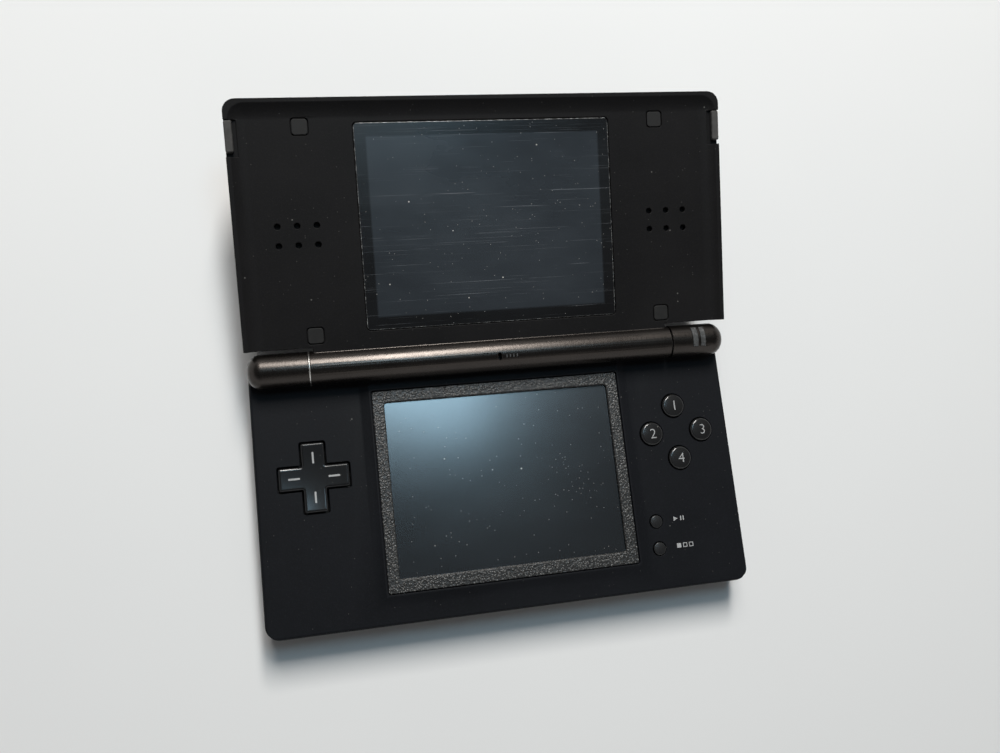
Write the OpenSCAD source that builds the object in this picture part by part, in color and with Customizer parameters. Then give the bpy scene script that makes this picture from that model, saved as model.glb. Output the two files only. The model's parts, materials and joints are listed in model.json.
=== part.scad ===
// Clamshell handheld game console: two hinged halves, each with a screen.
// Millimetres. +Z up, +X to the user's right, +Y away from the user.
// The origin lies on the plane that the feet stand on, straight below the
// middle of the lid hinge. The base lies flat and the lid stands open.

/* [Base] */
// Width of both halves
body_w = 133; // [129:0.5:145]
// From the hinge axis to the front edge of the base
base_front = 68.9; // [68:0.1:76]
// From the hinge axis to the rear face of the base
base_back = 4.9; // [4.7:0.1:6]
// Height of the control face above the table
face_z = 12.5; // [12.5:0.1:15]
// Radius of the base's corners seen from above
corner_r = 4.2; // [3:0.1:6]
// Wall thickness of the cases
wall = 1.2; // [1:0.05:1.5]
// Height of the line where the two base cases meet
parting_z = 7.4; // [7.2:0.05:7.6]
// Rounding of the base's underside edge
under_r = 2.6; // [1.5:0.1:2.9]
// Rounding of the base's upper edge
upper_r = 0.8; // [0.4:0.1:1.1]
// How far the feet stand out of the underside
foot_proud = 0.3; // [0.2:0.05:0.5]
// Radius of one foot
foot_r = 3; // [2.5:0.1:3.2]

/* [Hinge] */
// Height of the hinge axis above the control face
axis_up = 3.7; // [3.6:0.05:3.9]
// Outer radius of the hinge barrel and knuckles
barrel_r = 4.6; // [4.5:0.05:4.65]
// Radius of the bore through the barrel and knuckles
bore_r = 3.3; // [3:0.05:3.5]
// Half the length of the lid's barrel
barrel_half = 50.05; // [49.6:0.05:50.4]
// Gap between the barrel's end and the knuckle beside it
seam = 0.4; // [0.25:0.05:0.5]
// Clearance between the barrel and the trough under it
trough_gap = 0.3; // [0.2:0.05:0.4]
// Radius of the click hinge's shaft
shaft_r = 1.5; // [1.2:0.05:1.8]
// Opening angle at the hinge's last stop
lid_open = 165; // [150:1:170]

/* [Lid] */
// From the hinge axis to the lid's far edge
lid_reach = 69.2; // [68:0.1:76]
// From the hinge axis to the lid's near edge beside the barrel
lid_start = 5.6; // [5.4:0.05:6]
// Height of the lid's rim over the hinge axis, towards the user
rim_h = 3.4; // [3.35:0.05:3.5]
// Depth of the lid's outer face below the hinge axis
lid_back_h = 5.3; // [5.2:0.05:6]
// Depth of the dished inner face below the rim
dish = 1.6; // [1.5:0.05:1.7]
// Width of the curved wall around the dish
dish_run = 4.1; // [3.5:0.1:4.5]
// Width of the flat rim around the dish
rim_w = 1.1; // [0.8:0.1:1.5]
// Radius of the lid's far corners
lid_corner_r = 3.2; // [2.8:0.1:5]
// Rounding of the lid's outer edge
lid_edge_r = 2.5; // [1.5:0.1:2.8]
// Distance of the lid's parting line below the hinge axis
lid_parting = 1; // [0.8:0.05:1.2]

/* [Screens] */
// Width of each picture
picture_w = 62.8; // [60:0.2:64]
// Height of each picture
picture_h = 46.9; // [44:0.1:47.4]
// Width of the textured ring at the sides of the touch screen
ring_w = 3.15; // [2.9:0.05:3.4]
// Width of the ring's rear bar, towards the hinge
ring_rear = 3.25; // [2.9:0.05:3.4]
// Width of the ring's front bar
ring_front = 3.5; // [2.9:0.05:3.8]
// Thickness of the textured ring
ring_t = 0.7; // [0.5:0.05:0.8]
// Height of the raised frame above the control face
frame_up = 1; // [0.8:0.05:1.1]
// Width of the frame's sloping skirt
skirt = 2.7; // [2.2:0.1:3]
// Distance from the hinge axis to the touch picture's middle
touch_mid = 33.75; // [33.6:0.05:34]
// Width of the upper lens
lens_w = 68.9; // [67:0.1:70]
// Length of the upper lens
lens_d = 53.7; // [52:0.1:54]
// Thickness of the upper lens
lens_t = 0.85; // [0.7:0.05:0.9]
// Distance from the hinge axis to the lens's near edge
lens_start = 9.2; // [9:0.1:9.4]

/* [Controls] */
// Direction pad's middle, sideways from the console's middle
pad_x = 51.3; // [51:0.1:52]
// Direction pad's middle, forward of the hinge axis
pad_y = 28.4; // [27:0.1:30]
// Reach of one arm of the direction pad
pad_reach = 9.15; // [8.5:0.05:9.3]
// Half the width of one arm of the direction pad
pad_arm = 3.05; // [2.8:0.05:3.2]
// Gap between the direction pad and its opening
pad_gap = 0.38; // [0.35:0.01:0.5]
// How far the controls stand above the control face
proud = 1; // [0.7:0.05:1.2]
// Middle of the four face buttons, sideways
cluster_x = 50.8; // [50.4:0.1:51.2]
// Middle of the four face buttons, forward of the hinge axis
cluster_y = 25.5; // [25:0.1:27]
// Distance of each face button from the middle of the four
cluster_r = 7.5; // [7:0.1:7.8]
// Radius of a face button
button_r = 3.3; // [3:0.05:3.4]
// Sideways place of the two menu buttons
menu_x = 41.25; // [41.2:0.05:42]
// Forward place of the first menu button
menu_y = 50.1; // [49:0.1:51]
// Distance between the two menu buttons
menu_pitch = 7.5; // [6:0.1:8]
// Radius of a menu button
menu_r = 1.75; // [1.5:0.05:1.9]
// Gap between a round button and its hole
button_gap = 0.22; // [0.15:0.01:0.3]
// Travel of the power slider
power_travel = 2; // [1.5:0.1:2.5]
// Travel of the volume slider to each side
volume_travel = 3.5; // [3:0.1:4]

/* [Ports] */
// Width of the cartridge dust cover
cover_w = 58.2; // [56:0.1:58.6]
// Height of the cartridge dust cover
cover_h = 5.8; // [5.4:0.1:6]
// Depth of the cartridge bay
bay_d = 18; // [16:0.5:20]
// Width of the rear card slot
card_w = 33.6; // [32:0.1:34]
// Height of the rear card slot
card_h = 3.7; // [3.4:0.05:3.8]
// Depth of the rear card slot
card_d = 33; // [30:0.5:34]
// Radius of the headphone socket's bore
jack_r = 1.8; // [1.78:0.01:1.9]
// Depth of the headphone socket's bore
jack_d = 13; // [12:0.5:14]
// Radius of the stylus
stylus_r = 2.25; // [2:0.05:2.3]
// Length of the stylus
stylus_l = 87; // [80:0.5:88]

/* [Inside] */
// Thickness of the circuit board
board_t = 0.9; // [0.8:0.05:1]
// Width of the battery
battery_w = 51; // [45:0.5:51]
// Depth of the battery
battery_d = 32.8; // [28:0.2:33]
// Thickness of the battery
battery_t = 5; // [4:0.1:5]
// Radius of the case screws' shanks
screw_r = 0.75; // [0.6:0.05:0.85]
// Radius of the case screws' heads
screw_head_r = 1.7; // [1.5:0.05:1.8]

/* [Hidden] */
$fn = 64;

// General clearances and small sizes
gap = 0.1;            // between parts that are seated on each other
fit = 0.05;           // radial running clearance
over = 1;             // how far a cutter runs past what it cuts
contact = 0.02;       // radial clearance of a screw in its pilot hole

half_w = body_w / 2;
axis_z = face_z + axis_up;
floor_z = foot_proud;
floor_top = floor_z + wall;
plate_z = face_z - wall;
inner_w = half_w - wall;
inner_front = base_front - wall;
inner_back = base_back - wall;

// Board and what stacks on it
board_z = parting_z - 0.4;
board_top = board_z + board_t;
bracket_z = board_top + 0.65;
bracket_t = 0.3;
display_z = bracket_z + bracket_t + gap / 2;
frame_z = face_z + frame_up;
ring_z = frame_z - 0.05 - ring_t;
lip_t = 0.45;
panel_t = 0.8;
panel_z = ring_z - lip_t - gap / 2 - panel_t;
gasket_t = 0.3;
gasket_z = panel_z - gap / 4 - gasket_t;
display_t = gasket_z - gap / 4 - display_z;

// Plan of the touch screen
ring_x = picture_w / 2 + ring_w;
ring_y0 = -touch_mid - picture_h / 2 - ring_front;
ring_y1 = -touch_mid + picture_h / 2 + ring_rear;
ring_slack = 0.25;
frame_rim = 0.45;
frame_x = ring_x + ring_slack + frame_rim;
frame_y0 = ring_y0 - ring_slack - frame_rim;
window_x = picture_w / 2 + 0.8;
window_y = picture_h / 2 + 0.8;
panel_x = picture_w / 2 + 2.1;
panel_y = picture_h / 2 + 1.8;

// Hinge
trough_r = barrel_r + trough_gap;
knuckle_x0 = barrel_half + seam;
knuckle_x1 = half_w - 0.3;
knuckle_round = 3.6;
knuckle_end = 0.9;
knuckle_foot = 2.2;
rear_lip_z = axis_z - trough_r;
gutter_z = rear_lip_z - wall;
gutter_y = -6;
web_front = 2.5;
bush_in = 6;
light_angles = [48, 122];
light_places = [[half_w - 10.1, 1.5], [half_w - 7.8, 1.4]];

// Shoulder buttons
shoulder_x0 = knuckle_x0 + 0.7;
shoulder_z0 = 3.5;
shoulder_z1 = 11.2;
shoulder_front = -3.4;
shoulder_gap = 0.35;
shoulder_room = 1.8;
pivot_x = shoulder_x0 + 1.7;
pivot_y = 1.2;
pivot_r = 0.7;
hub_z = [7.4, 9];
spring_r = 1.5;
room_front = shoulder_front - shoulder_room;
switch_x = (pivot_x + half_w) / 2;
switch_top = 10.6;
finger_z = [8.7, 9.9];

// Cartridge bay, at the front under the touch screen
cover_z0 = 2.2;
bay_gap = 0.3;
bay_wall = 0.35;
bay_x = cover_w / 2 + bay_gap;
connector_d = 3;
cover_end = 1;
cover_d = bay_d - connector_d - cover_end;
cover_grip = 9;
bay_back = 0.8;
bay_y1 = -base_front + bay_d;
bay_z0 = cover_z0 - 0.2;
bay_z1 = cover_z0 + cover_h + 0.2;

connector_x = 23;
connector_z = [3.2, 6.8];
connector_wall = 1.5;
connector_lip = 1.2;
connector_back = 1.8;

// Stylus, across the base behind the bay
holder_y = 3;
holder_bay = 0.9;
stylus_y = bay_y1 + holder_bay + holder_y;
stylus_z = 4.2;
holder_r = stylus_r + 0.12;
holder_x0 = half_w - stylus_l - 1.2;

// Card reader at the rear, and the battery left of it
card_x = 22.5;
card_z0 = 3.1;
reader_wall = 0.3;
battery_side = 4.4;
battery_x0 = card_x - card_w / 2 - reader_wall - battery_side - battery_w;
battery_y1 = -10.4;
cover_lip = 1.7;
hatch_t = 0.8;
battery_z = floor_z + hatch_t + gap;
hatch_x = [battery_x0 - cover_lip, battery_x0 + battery_w + cover_lip];
hatch_y = [battery_y1 - battery_d - cover_lip, battery_y1 + cover_lip];
tab_x = battery_x0 + battery_w / 2;
tab_y = hatch_y[1] + 2.1;
tab_r = 2.4;
grip_pitch = 1.6;
grip_half = 6;

// Ports
charge_x = [-22, -13];
charge_z = [2.6, 6.8];
strap_x = -33;
strap_y = base_back - 1.2;
strap_r = 0.8;
jack_x = 44;
jack_z = 4.4;
nose_r = 2.5;
socket_half = 3.4;
socket_below = 2.6;
socket_end = 0.8;
volume_x = -44;
power_y = -22;
side_z = 5.7;

wireless_y = [-37.5, -12];
wireless_side = 8;
wireless_card = 3.2;
wireless_h = 1.4;

// Case screws: place and how the boss is carried
screw_places = [[-half_w + 5.7, -base_front + 5.7], [half_w - 5.7, -base_front + 5.7],
    [-half_w + 4.9, -44], [half_w - 4.7, -40.5], [-44.6, -1], [44.6, -1]];
boss_r = 2.4;
foot_places = [[-half_w + 14.5, -base_front + 6.4], [half_w - 14.5, -base_front + 6.4],
    [-half_w + 9.5, -3], [half_w - 9.5, -3]];
foot_sink = 0.7;

// Controls
flange_t = 1;
flange_z = plate_z - gap - flange_t;
membrane_t = 0.4;
membrane_z = board_top + gap / 2;
dome_top = flange_z - gap / 2;
rocker_r = 10.7;
rocker_t = 0.65;
rocker_z = plate_z - 0.95 - rocker_t;
ball_r = 0.8;
ball_z = membrane_z + ball_r;
pad_sheet = 10;
pad_dome = [6.4, 2.2];
pad_dip = 0.5;
dip_end = 0.6;
dash_r = 5.2;
dash = [0.45, 3];
crown_share = 0.03;
button_places = [[0, 1], [-1, 0], [1, 0], [0, -1]];

// Lid, in its own frame: d runs away from the hinge axis, h towards the user
floor_h = rim_h - dish;
plate_h = floor_h - wall;
dish_r = (dish_run * dish_run + dish * dish) / (2 * dish);
flat_x = half_w - rim_w - dish_run;
flat_d = lid_reach - rim_w - dish_run;
neck_x = 48.9;
lens_x = lens_w / 2;
lens_h = floor_h - 0.03 - lens_t;
lens_gap = 0.22;
upper_mid = lens_start + lens_d / 2 - 0.1;
speaker_x = 50.5;
speaker_d = 34.75;
speaker_pitch = 5;
speaker_r = 6.2;
speaker_hole_r = 0.8;
speaker_t = 2.9;
pad_half = 2.15;
lid_screw_x = 48;
lid_screw_d = [lid_start + 3.1, lid_reach - 7];
lid_screw_sink = 0.6;
bumper_d = [lid_reach - 14.3, lid_reach - 5.1];
bumper_l = 8;
bumper_w = 2;
magnet_x = [flat_x - 5.3, flat_x - 0.3];
magnet_d = [20, 23];
magnet_t = 1.4;
mic_x = 0.3;
mic_r = 1.25;
ribbon_x = [-41, -29];
ribbon_r = 2.3;
ribbon_t = 0.2;

case_black = [0.055, 0.055, 0.06];
soft_black = [0.09, 0.09, 0.1];
ring_grey = [0.3, 0.29, 0.27];
glass_dark = [0.12, 0.17, 0.22];
metal_grey = [0.62, 0.63, 0.64];
board_green = [0.07, 0.3, 0.17];
rubber_grey = [0.25, 0.25, 0.26];

// ---------------------------------------------------------------- helpers

// Rectangle between two corners with rounded corners, in the plan
module rounded(x, y, r = 0) {
    if (r <= 0) translate([x[0], y[0]]) square([x[1] - x[0], y[1] - y[0]]);
    else {
        translate([x[0] + r, y[0]]) square([x[1] - x[0] - 2 * r, y[1] - y[0]]);
        translate([x[0], y[0] + r]) square([x[1] - x[0], y[1] - y[0] - 2 * r]);
        for (cx = [x[0] + r, x[1] - r], cy = [y[0] + r, y[1] - r]) translate([cx, cy]) circle(r);
    }
}

// Upright block between two corners, its vertical edges rounded
module slab(x, y, z, r = 0) {
    translate([0, 0, z[0]]) linear_extrude(z[1] - z[0]) rounded(x, y, r);
}

// Rectangle whose two lower corners are rounded
module keel_profile(x, z, r) {
    translate([x[0], z[0] + r]) square([x[1] - x[0], z[1] - z[0] - r]);
    translate([x[0] + r, z[0]]) square([x[1] - x[0] - 2 * r, z[1] - z[0]]);
    for (cx = [x[0] + r, x[1] - r]) translate([cx, z[0] + r]) circle(r);
}

// Block whose four lower edges are rounded
module keel(x, y, z, r) {
    intersection() {
        translate([0, y[1], 0]) rotate([90, 0, 0]) linear_extrude(y[1] - y[0]) keel_profile(x, z, r);
        translate([x[0], 0, 0]) rotate([90, 0, 90]) linear_extrude(x[1] - x[0]) keel_profile(y, z, r);
    }
}

// Block with rounded corners in the plan (rp) and rounded lower edges (re)
module soft_block(x, y, z, rp, re) {
    intersection() {
        slab(x, y, z, rp);
        keel(x, y, z, re);
    }
}

// The same with its upper edges rounded
module soft_block_up(x, y, z, rp, re) {
    translate([0, 0, z[0] + z[1]]) mirror([0, 0, 1]) soft_block(x, y, z, rp, re);
}

// Cylinder along X between two places
module rod_x(x, y, z, r) {
    translate([x[0], y, z]) rotate([0, 90, 0]) cylinder(r = r, h = x[1] - x[0]);
}

// Cylinder along Y between two places
module rod_y(x, y, z, r) {
    translate([x, y[0], z]) rotate([-90, 0, 0]) cylinder(r = r, h = y[1] - y[0]);
}

// Cylinder upwards between two heights
module post(x, y, z, r) {
    translate([x, y, z[0]]) cylinder(r = r, h = z[1] - z[0]);
}

// Ring around the hinge axis between two places along X
module tube_x(x, r_in, r_out) {
    translate([x[0], 0, 0]) rotate([0, 90, 0]) difference() {
        cylinder(r = r_out, h = x[1] - x[0]);
        translate([0, 0, -over]) cylinder(r = r_in, h = x[1] - x[0] + 2 * over);
    }
}

// Both sides of the console
module both_sides() {
    children();
    mirror([1, 0, 0]) children();
}

// Puts a piece of the lid, drawn in the lid's frame, where the open lid holds it
module in_lid() {
    translate([0, 0, axis_z]) rotate([180 - lid_open, 0, 0]) children();
}

// Plus sign in the plan
module cross(reach, arm) {
    rounded([-reach, reach], [-arm, arm], 0.6);
    rounded([-arm, arm], [-reach, reach], 0.6);
}

// ---------------------------------------------------------------- base cases

// Volume kept free for a shoulder button at the right rear corner
module shoulder_room_block() {
    slab([shoulder_x0 - shoulder_gap, half_w + over],
        [room_front, base_back + over],
        [shoulder_z0 - shoulder_gap, shoulder_z1 + shoulder_gap]);
}

// Walls around that room, between two heights
module shoulder_lining(z) {
    intersection() {
        slab([shoulder_x0 - shoulder_gap - wall, half_w],
            [room_front - wall, base_back], z);
        slab([-half_w, half_w], [-base_front, base_back], z, corner_r);
    }
}

// Opening for the power slider in the right wall
module power_slot() {
    slab([inner_w - over, half_w + over], [power_y - 3.4, power_y + 3.4 + power_travel],
        [side_z - 1.05, side_z + 1.05]);
}

// Opening for the volume slider in the front wall
module volume_slot() {
    slab([volume_x - 2.7 - volume_travel, volume_x + 2.7 + volume_travel],
        [-base_front - over, -inner_front + over], [side_z - 0.85, side_z + 0.85]);
}

// Mouth of the cartridge bay in the front wall
module bay_mouth() {
    slab([-bay_x, bay_x], [-base_front - over, -inner_front + over], [bay_z0, bay_z1]);
}

module base_bottom_case() {
    color(case_black) difference() {
        union() {
            difference() {
                soft_block([-half_w, half_w], [-base_front, base_back], [floor_z, parting_z - gap / 2],
                    corner_r, under_r);
                slab([-inner_w, inner_w], [-inner_front, inner_back], [floor_top, parting_z + over],
                    corner_r - wall);
            }
            both_sides() intersection() {
                shoulder_lining([floor_z + 0.6, parting_z - gap / 2]);
                soft_block([-half_w, half_w], [-base_front, base_back], [floor_z, face_z],
                    corner_r, under_r);
            }
            for (p = screw_places) post(p[0], p[1], [floor_top - gap, board_z - gap / 2], boss_r);
            slab([strap_x - 5, strap_x + 5], [strap_y - 3.6, inner_back + gap],
                [floor_top - gap, parting_z - gap / 2]);
            post(tab_x, tab_y, [floor_top - gap, 5], 2);
        }
        both_sides() shoulder_room_block();
        both_sides() post(pivot_x, pivot_y, [floor_top, parting_z + over], pivot_r + contact);
        for (p = screw_places) {
            post(p[0], p[1], [floor_z - over, floor_z + 1.6], screw_head_r + 0.2);
            post(p[0], p[1], [floor_z, parting_z + over], screw_r + 0.25);
        }
        for (p = foot_places) post(p[0], p[1], [floor_z - over, floor_z + foot_sink], foot_r + 0.1);
        // battery hatch with its rebate, and the tab of the battery cover
        slab(hatch_x, hatch_y, [floor_z - over, floor_z + hatch_t], 1.5);
        slab([hatch_x[0] + cover_lip - 0.2, hatch_x[1] - cover_lip + 0.2],
            [hatch_y[0] + cover_lip - 0.2, hatch_y[1] - cover_lip + 0.2], [floor_z, parting_z], 0.5);
        slab([tab_x - tab_r, tab_x + tab_r], [hatch_y[1] - 1, tab_y], [floor_z - over, floor_z + hatch_t]);
        post(tab_x, tab_y, [floor_z - over, floor_z + hatch_t], tab_r);
        post(tab_x, tab_y, [floor_z, 4.4], screw_r + contact);
        bay_mouth();
        // rear card slot, charge socket and strap recess
        slab([card_x - card_w / 2, card_x + card_w / 2], [inner_back - over, base_back + over],
            [card_z0, card_z0 + card_h]);
        slab([charge_x[0] + 1.4, charge_x[1] - 1.4], [inner_back - over, base_back + over],
            [charge_z[0] + 0.6, charge_z[1] - 0.6]);
        slab([strap_x - 4, strap_x + 4], [strap_y - 2.4, base_back + over], [3.5, parting_z - 1]);
        post(strap_x, strap_y, [floor_top + 1, parting_z + over], strap_r + contact);
        rod_y(jack_x, [-base_front - over, -inner_front + over], jack_z, nose_r + fit);
        rod_x([inner_w - over, half_w + over], stylus_y, stylus_z, holder_r);
        power_slot();
        volume_slot();
    }
}

// Raised frame around the touch screen, with a sloping skirt on three sides
module touch_frame() {
    base_x = frame_x + skirt;
    base_y = frame_y0 - skirt;
    intersection() {
        translate([0, gutter_y + 3, 0]) rotate([90, 0, 0]) linear_extrude(gutter_y + 3 - base_y)
            polygon([[-base_x, face_z - gap], [base_x, face_z - gap], [base_x, face_z],
                [frame_x, frame_z], [-frame_x, frame_z], [-base_x, face_z]]);
        rotate([90, 0, 90]) translate([0, 0, -base_x]) linear_extrude(2 * base_x)
            polygon([[base_y, face_z - gap], [gutter_y + 3, face_z - gap], [gutter_y + 3, frame_z],
                [frame_y0, frame_z], [base_y, face_z]]);
    }
}

// Right knuckle with its web down to the case
module knuckle() {
    translate([knuckle_x0, 0, axis_z]) rotate([0, 90, 0]) rotate_extrude() {
        square([barrel_r, knuckle_x1 - knuckle_x0 - knuckle_round]);
        square([barrel_r - knuckle_round, knuckle_x1 - knuckle_x0]);
        intersection() {
            translate([barrel_r - knuckle_round, knuckle_x1 - knuckle_x0 - knuckle_round])
                circle(knuckle_round);
            square([barrel_r, knuckle_x1 - knuckle_x0]);
        }
    }
    slab([knuckle_x0, knuckle_x1 - knuckle_round], [-web_front, barrel_r], [face_z - wall, axis_z]);
    slab([knuckle_x0, knuckle_x1 - knuckle_end], [-web_front, 0], [face_z - wall, face_z + knuckle_foot], knuckle_end);
}

// Ring sectors of the two status lights in the right knuckle, grown by a slack
module light_sectors(slack, r_in, r_out) {
    turn = slack / barrel_r * 180 / PI;
    for (p = light_places) translate([p[0] - slack, 0, axis_z]) rotate([0, 90, 0])
        rotate([0, 0, 90 + light_angles[0] - turn])
            rotate_extrude(angle = light_angles[1] - light_angles[0] + 2 * turn)
                translate([r_in, 0]) square([r_out - r_in, p[1] + 2 * slack]);
}

module base_top_case() {
    color(case_black) difference() {
        union() {
            difference() {
                union() {
                    soft_block_up([-half_w, half_w], [-base_front, base_back],
                        [parting_z + gap / 2, face_z], corner_r, upper_r);
                    touch_frame();
                }
                slab([-inner_w, inner_w], [-inner_front, inner_back], [parting_z - over, plate_z],
                    corner_r - wall);
            }
            slab([-knuckle_x0, knuckle_x0], [gutter_y, inner_back + gap], [gutter_z, plate_z + gap]);
            both_sides() {
                shoulder_lining([parting_z + gap / 2, face_z - upper_r]);
                knuckle();
            }
            for (p = screw_places) post(p[0], p[1], [board_top + gap / 2, plate_z + gap], boss_r - 0.3);
        }
        both_sides() {
            shoulder_room_block();
            post(pivot_x, pivot_y, [parting_z, face_z - 0.6], pivot_r + contact);
            rod_x([knuckle_x0 - over, knuckle_x1 - 2.7], 0, axis_z, bore_r);
        }
        // trough for the lid's barrel, open to the rear above the lip
        rod_x([-knuckle_x0, knuckle_x0], 0, axis_z, trough_r);
        slab([-knuckle_x0, knuckle_x0], [0, base_back + over], [rear_lip_z, axis_z + over]);
        light_sectors(fit, bore_r - 0.3, barrel_r + over);
        // touch screen: seat of the ring, window, and the pocket under it
        slab([-ring_x - ring_slack, ring_x + ring_slack], [ring_y0 - ring_slack, ring_y1 + ring_slack],
            [ring_z, frame_z + over], 0.8);
        slab([-window_x, window_x], [-touch_mid - window_y, -touch_mid + window_y],
            [parting_z, frame_z + over]);
        slab([-panel_x - 0.3, panel_x + 0.3], [-touch_mid - panel_y - 1.1, -touch_mid + panel_y + 0.7],
            [parting_z, panel_z + panel_t + gap / 2]);
        translate([-pad_x, -pad_y, plate_z - over]) linear_extrude(wall + 2 * over)
            cross(pad_reach + pad_gap, pad_arm + pad_gap);
        for (p = button_places) post(cluster_x + cluster_r * p[0], -cluster_y + cluster_r * p[1],
            [plate_z - over, face_z + over], button_r + button_gap);
        for (i = [0, 1]) post(menu_x, -menu_y - i * menu_pitch, [plate_z - over, face_z + over],
            menu_r + button_gap);
        for (p = screw_places) post(p[0], p[1], [parting_z, board_top + 2.2], screw_r + contact);
        bay_mouth();
        both_sides() slab([switch_x - 1.1, switch_x + 1.1],
            [room_front - wall - over, room_front + over], [finger_z[0] - 0.2, finger_z[1] + 0.2]);
    }
}

module battery_cover() {
    color(case_black) difference() {
        union() {
            slab([hatch_x[0] + gap, hatch_x[1] - gap], [hatch_y[0] + gap, hatch_y[1] - gap],
                [floor_z, floor_z + hatch_t - fit], 1.4);
            slab([tab_x - tab_r + gap, tab_x + tab_r - gap], [hatch_y[1] - 1, tab_y],
                [floor_z, floor_z + hatch_t - fit]);
            post(tab_x, tab_y, [floor_z, floor_z + hatch_t - fit], tab_r - gap);
        }
        post(tab_x, tab_y, [floor_z - over, floor_z + 0.45], screw_head_r + 0.1);
        post(tab_x, tab_y, [floor_z - over, floor_top], screw_r + 0.2);
        // finger grip: three shallow grooves
        for (i = [-1 : 1]) translate([0, grip_pitch * i, 0]) slab([tab_x - grip_half, tab_x + grip_half],
            [hatch_y[0] + 5, hatch_y[0] + 5.7], [floor_z - over, floor_z + 0.3]);
    }
}

// Screw with its head down: place, head's underside height, shank's end, head's thickness
module screw(p, z_head, z_end, head_t) {
    difference() {
        union() {
            post(p[0], p[1], [z_head - head_t, z_head], screw_head_r);
            post(p[0], p[1], [z_head - gap, z_end], screw_r);
        }
        for (a = [0, 90]) translate([p[0], p[1], z_head - head_t]) rotate([0, 0, a])
            cube([1.8, 0.45, head_t], center = true);
    }
}

module battery_cover_screw() {
    color(metal_grey) screw([tab_x, tab_y], floor_z + 0.45, 4.2, 0.4);
}

module base_screws() {
    color(metal_grey) for (p = screw_places) screw(p, floor_z + 1.6, board_top + 2, 1);
}

module battery_pack() {
    color(soft_black) slab([battery_x0 + gap, battery_x0 + battery_w - gap],
        [battery_y1 - battery_d + gap, battery_y1 - gap], [battery_z, battery_z + battery_t], 1);
}

module rubber_feet() {
    color(rubber_grey) for (p = foot_places) {
        post(p[0], p[1], [0.15, floor_z + foot_sink], foot_r);
        post(p[0], p[1], [0, floor_z], foot_r - 0.25);
    }
}

// ---------------------------------------------------------------- electronics

module main_board() {
    rear = room_front - wall - 0.4;
    color(board_green) difference() {
        union() {
            slab([-inner_w + 1.4, inner_w - 1.4], [-inner_front + 1.2, rear], [board_z, board_top], 1);
            slab([-shoulder_x0 + 2, shoulder_x0 - 2], [rear - over, inner_back - 0.8],
                [board_z, board_top]);
        }
        slab([-bay_x - 1.6, bay_x + 1.6], [-base_front, bay_y1 + 1], [board_z - over, board_top + over]);
        slab([strap_x - 5.4, strap_x + 5.4], [strap_y - 4, base_back], [board_z - over, board_top + over]);
        for (p = screw_places) post(p[0], p[1], [board_z - over, board_top + over], screw_r + 0.4);
    }
}

module wireless_module() {
    color(metal_grey) slab([card_x + card_w / 2 + wireless_card, half_w - wireless_side], wireless_y,
        [board_z - wireless_h, board_z - gap / 2], 0.5);
}

module shield_can() {
    x = [card_x - card_w / 2 - 0.6, card_x + card_w / 2 + 0.6];
    y = [stylus_y + holder_y + 0.8, inner_back - card_d - 1.6];
    color(metal_grey) difference() {
        slab(x, y, [board_z - 1.6, board_z - gap / 2], 0.6);
        slab([x[0] + 0.3, x[1] - 0.3], [y[0] + 0.3, y[1] - 0.3], [board_z - 1.3, board_z + over], 0.4);
    }
}

module touch_ring() {
    color(ring_grey) difference() {
        slab([-ring_x, ring_x], [ring_y0, ring_y1], [ring_z, ring_z + ring_t], 0.6);
        slab([-picture_w / 2, picture_w / 2], [-touch_mid - picture_h / 2, -touch_mid + picture_h / 2],
            [ring_z - over, frame_z + over], 0.8);
    }
}

module touch_panel() {
    color(glass_dark) slab([-panel_x, panel_x], [-touch_mid - panel_y, -touch_mid + panel_y],
        [panel_z, panel_z + panel_t], 0.5);
}

module touch_gasket() {
    color(rubber_grey) difference() {
        slab([-panel_x, panel_x], [-touch_mid - panel_y, -touch_mid + panel_y],
            [gasket_z, gasket_z + gasket_t], 0.5);
        slab([-picture_w / 2 - 0.3, picture_w / 2 + 0.3],
            [-touch_mid - picture_h / 2 - 0.3, -touch_mid + picture_h / 2 + 0.3],
            [gasket_z - over, gasket_z + gasket_t + over]);
    }
}

module lower_display() {
    color(glass_dark) slab([-panel_x, panel_x], [-touch_mid - panel_y - 0.8, -touch_mid + panel_y + 0.4],
        [display_z, display_z + display_t]);
}

module display_bracket() {
    color(metal_grey) {
        slab([-panel_x, panel_x], [-touch_mid - panel_y - 0.8, -touch_mid + panel_y + 0.4],
            [bracket_z, bracket_z + bracket_t]);
        for (x = [-panel_x + 0.6, panel_x - 3.1], y = [bay_y1 + 2, -touch_mid + panel_y - 3])
            slab([x, x + 2.5], [y, y + 2.5], [board_top, bracket_z + 0.1]);
    }
}

// One rubber dome that carries a control
module dome(x, y, r, top) {
    translate([x, y, membrane_z + membrane_t]) rotate_extrude()
        polygon([[0, -gap / 2], [r, -gap / 2], [r * 0.7, top - membrane_z - membrane_t],
            [0, top - membrane_z - membrane_t]]);
}

module pad_membrane() {
    color(rubber_grey) difference() {
        union() {
            slab([-pad_x - pad_sheet, -pad_x + pad_sheet], [-pad_y - pad_sheet, -pad_y + pad_sheet],
                [membrane_z, membrane_z + membrane_t], 3);
            for (p = button_places)
                dome(-pad_x + pad_dome[0] * p[0], -pad_y + pad_dome[0] * p[1], pad_dome[1],
                    rocker_z - gap / 2);
        }
        post(-pad_x, -pad_y, [membrane_z - over, rocker_z], ball_r + 1);
    }
}

module button_membrane() {
    color(rubber_grey) {
        slab([cluster_x - cluster_r - 3.2, cluster_x + cluster_r + 3.2],
            [-cluster_y - cluster_r - 3.2, -cluster_y + cluster_r + 3.2],
            [membrane_z, membrane_z + membrane_t], 4);
        for (p = button_places)
            dome(cluster_x + cluster_r * p[0], -cluster_y + cluster_r * p[1], 2.6, dome_top);
    }
}

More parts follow.
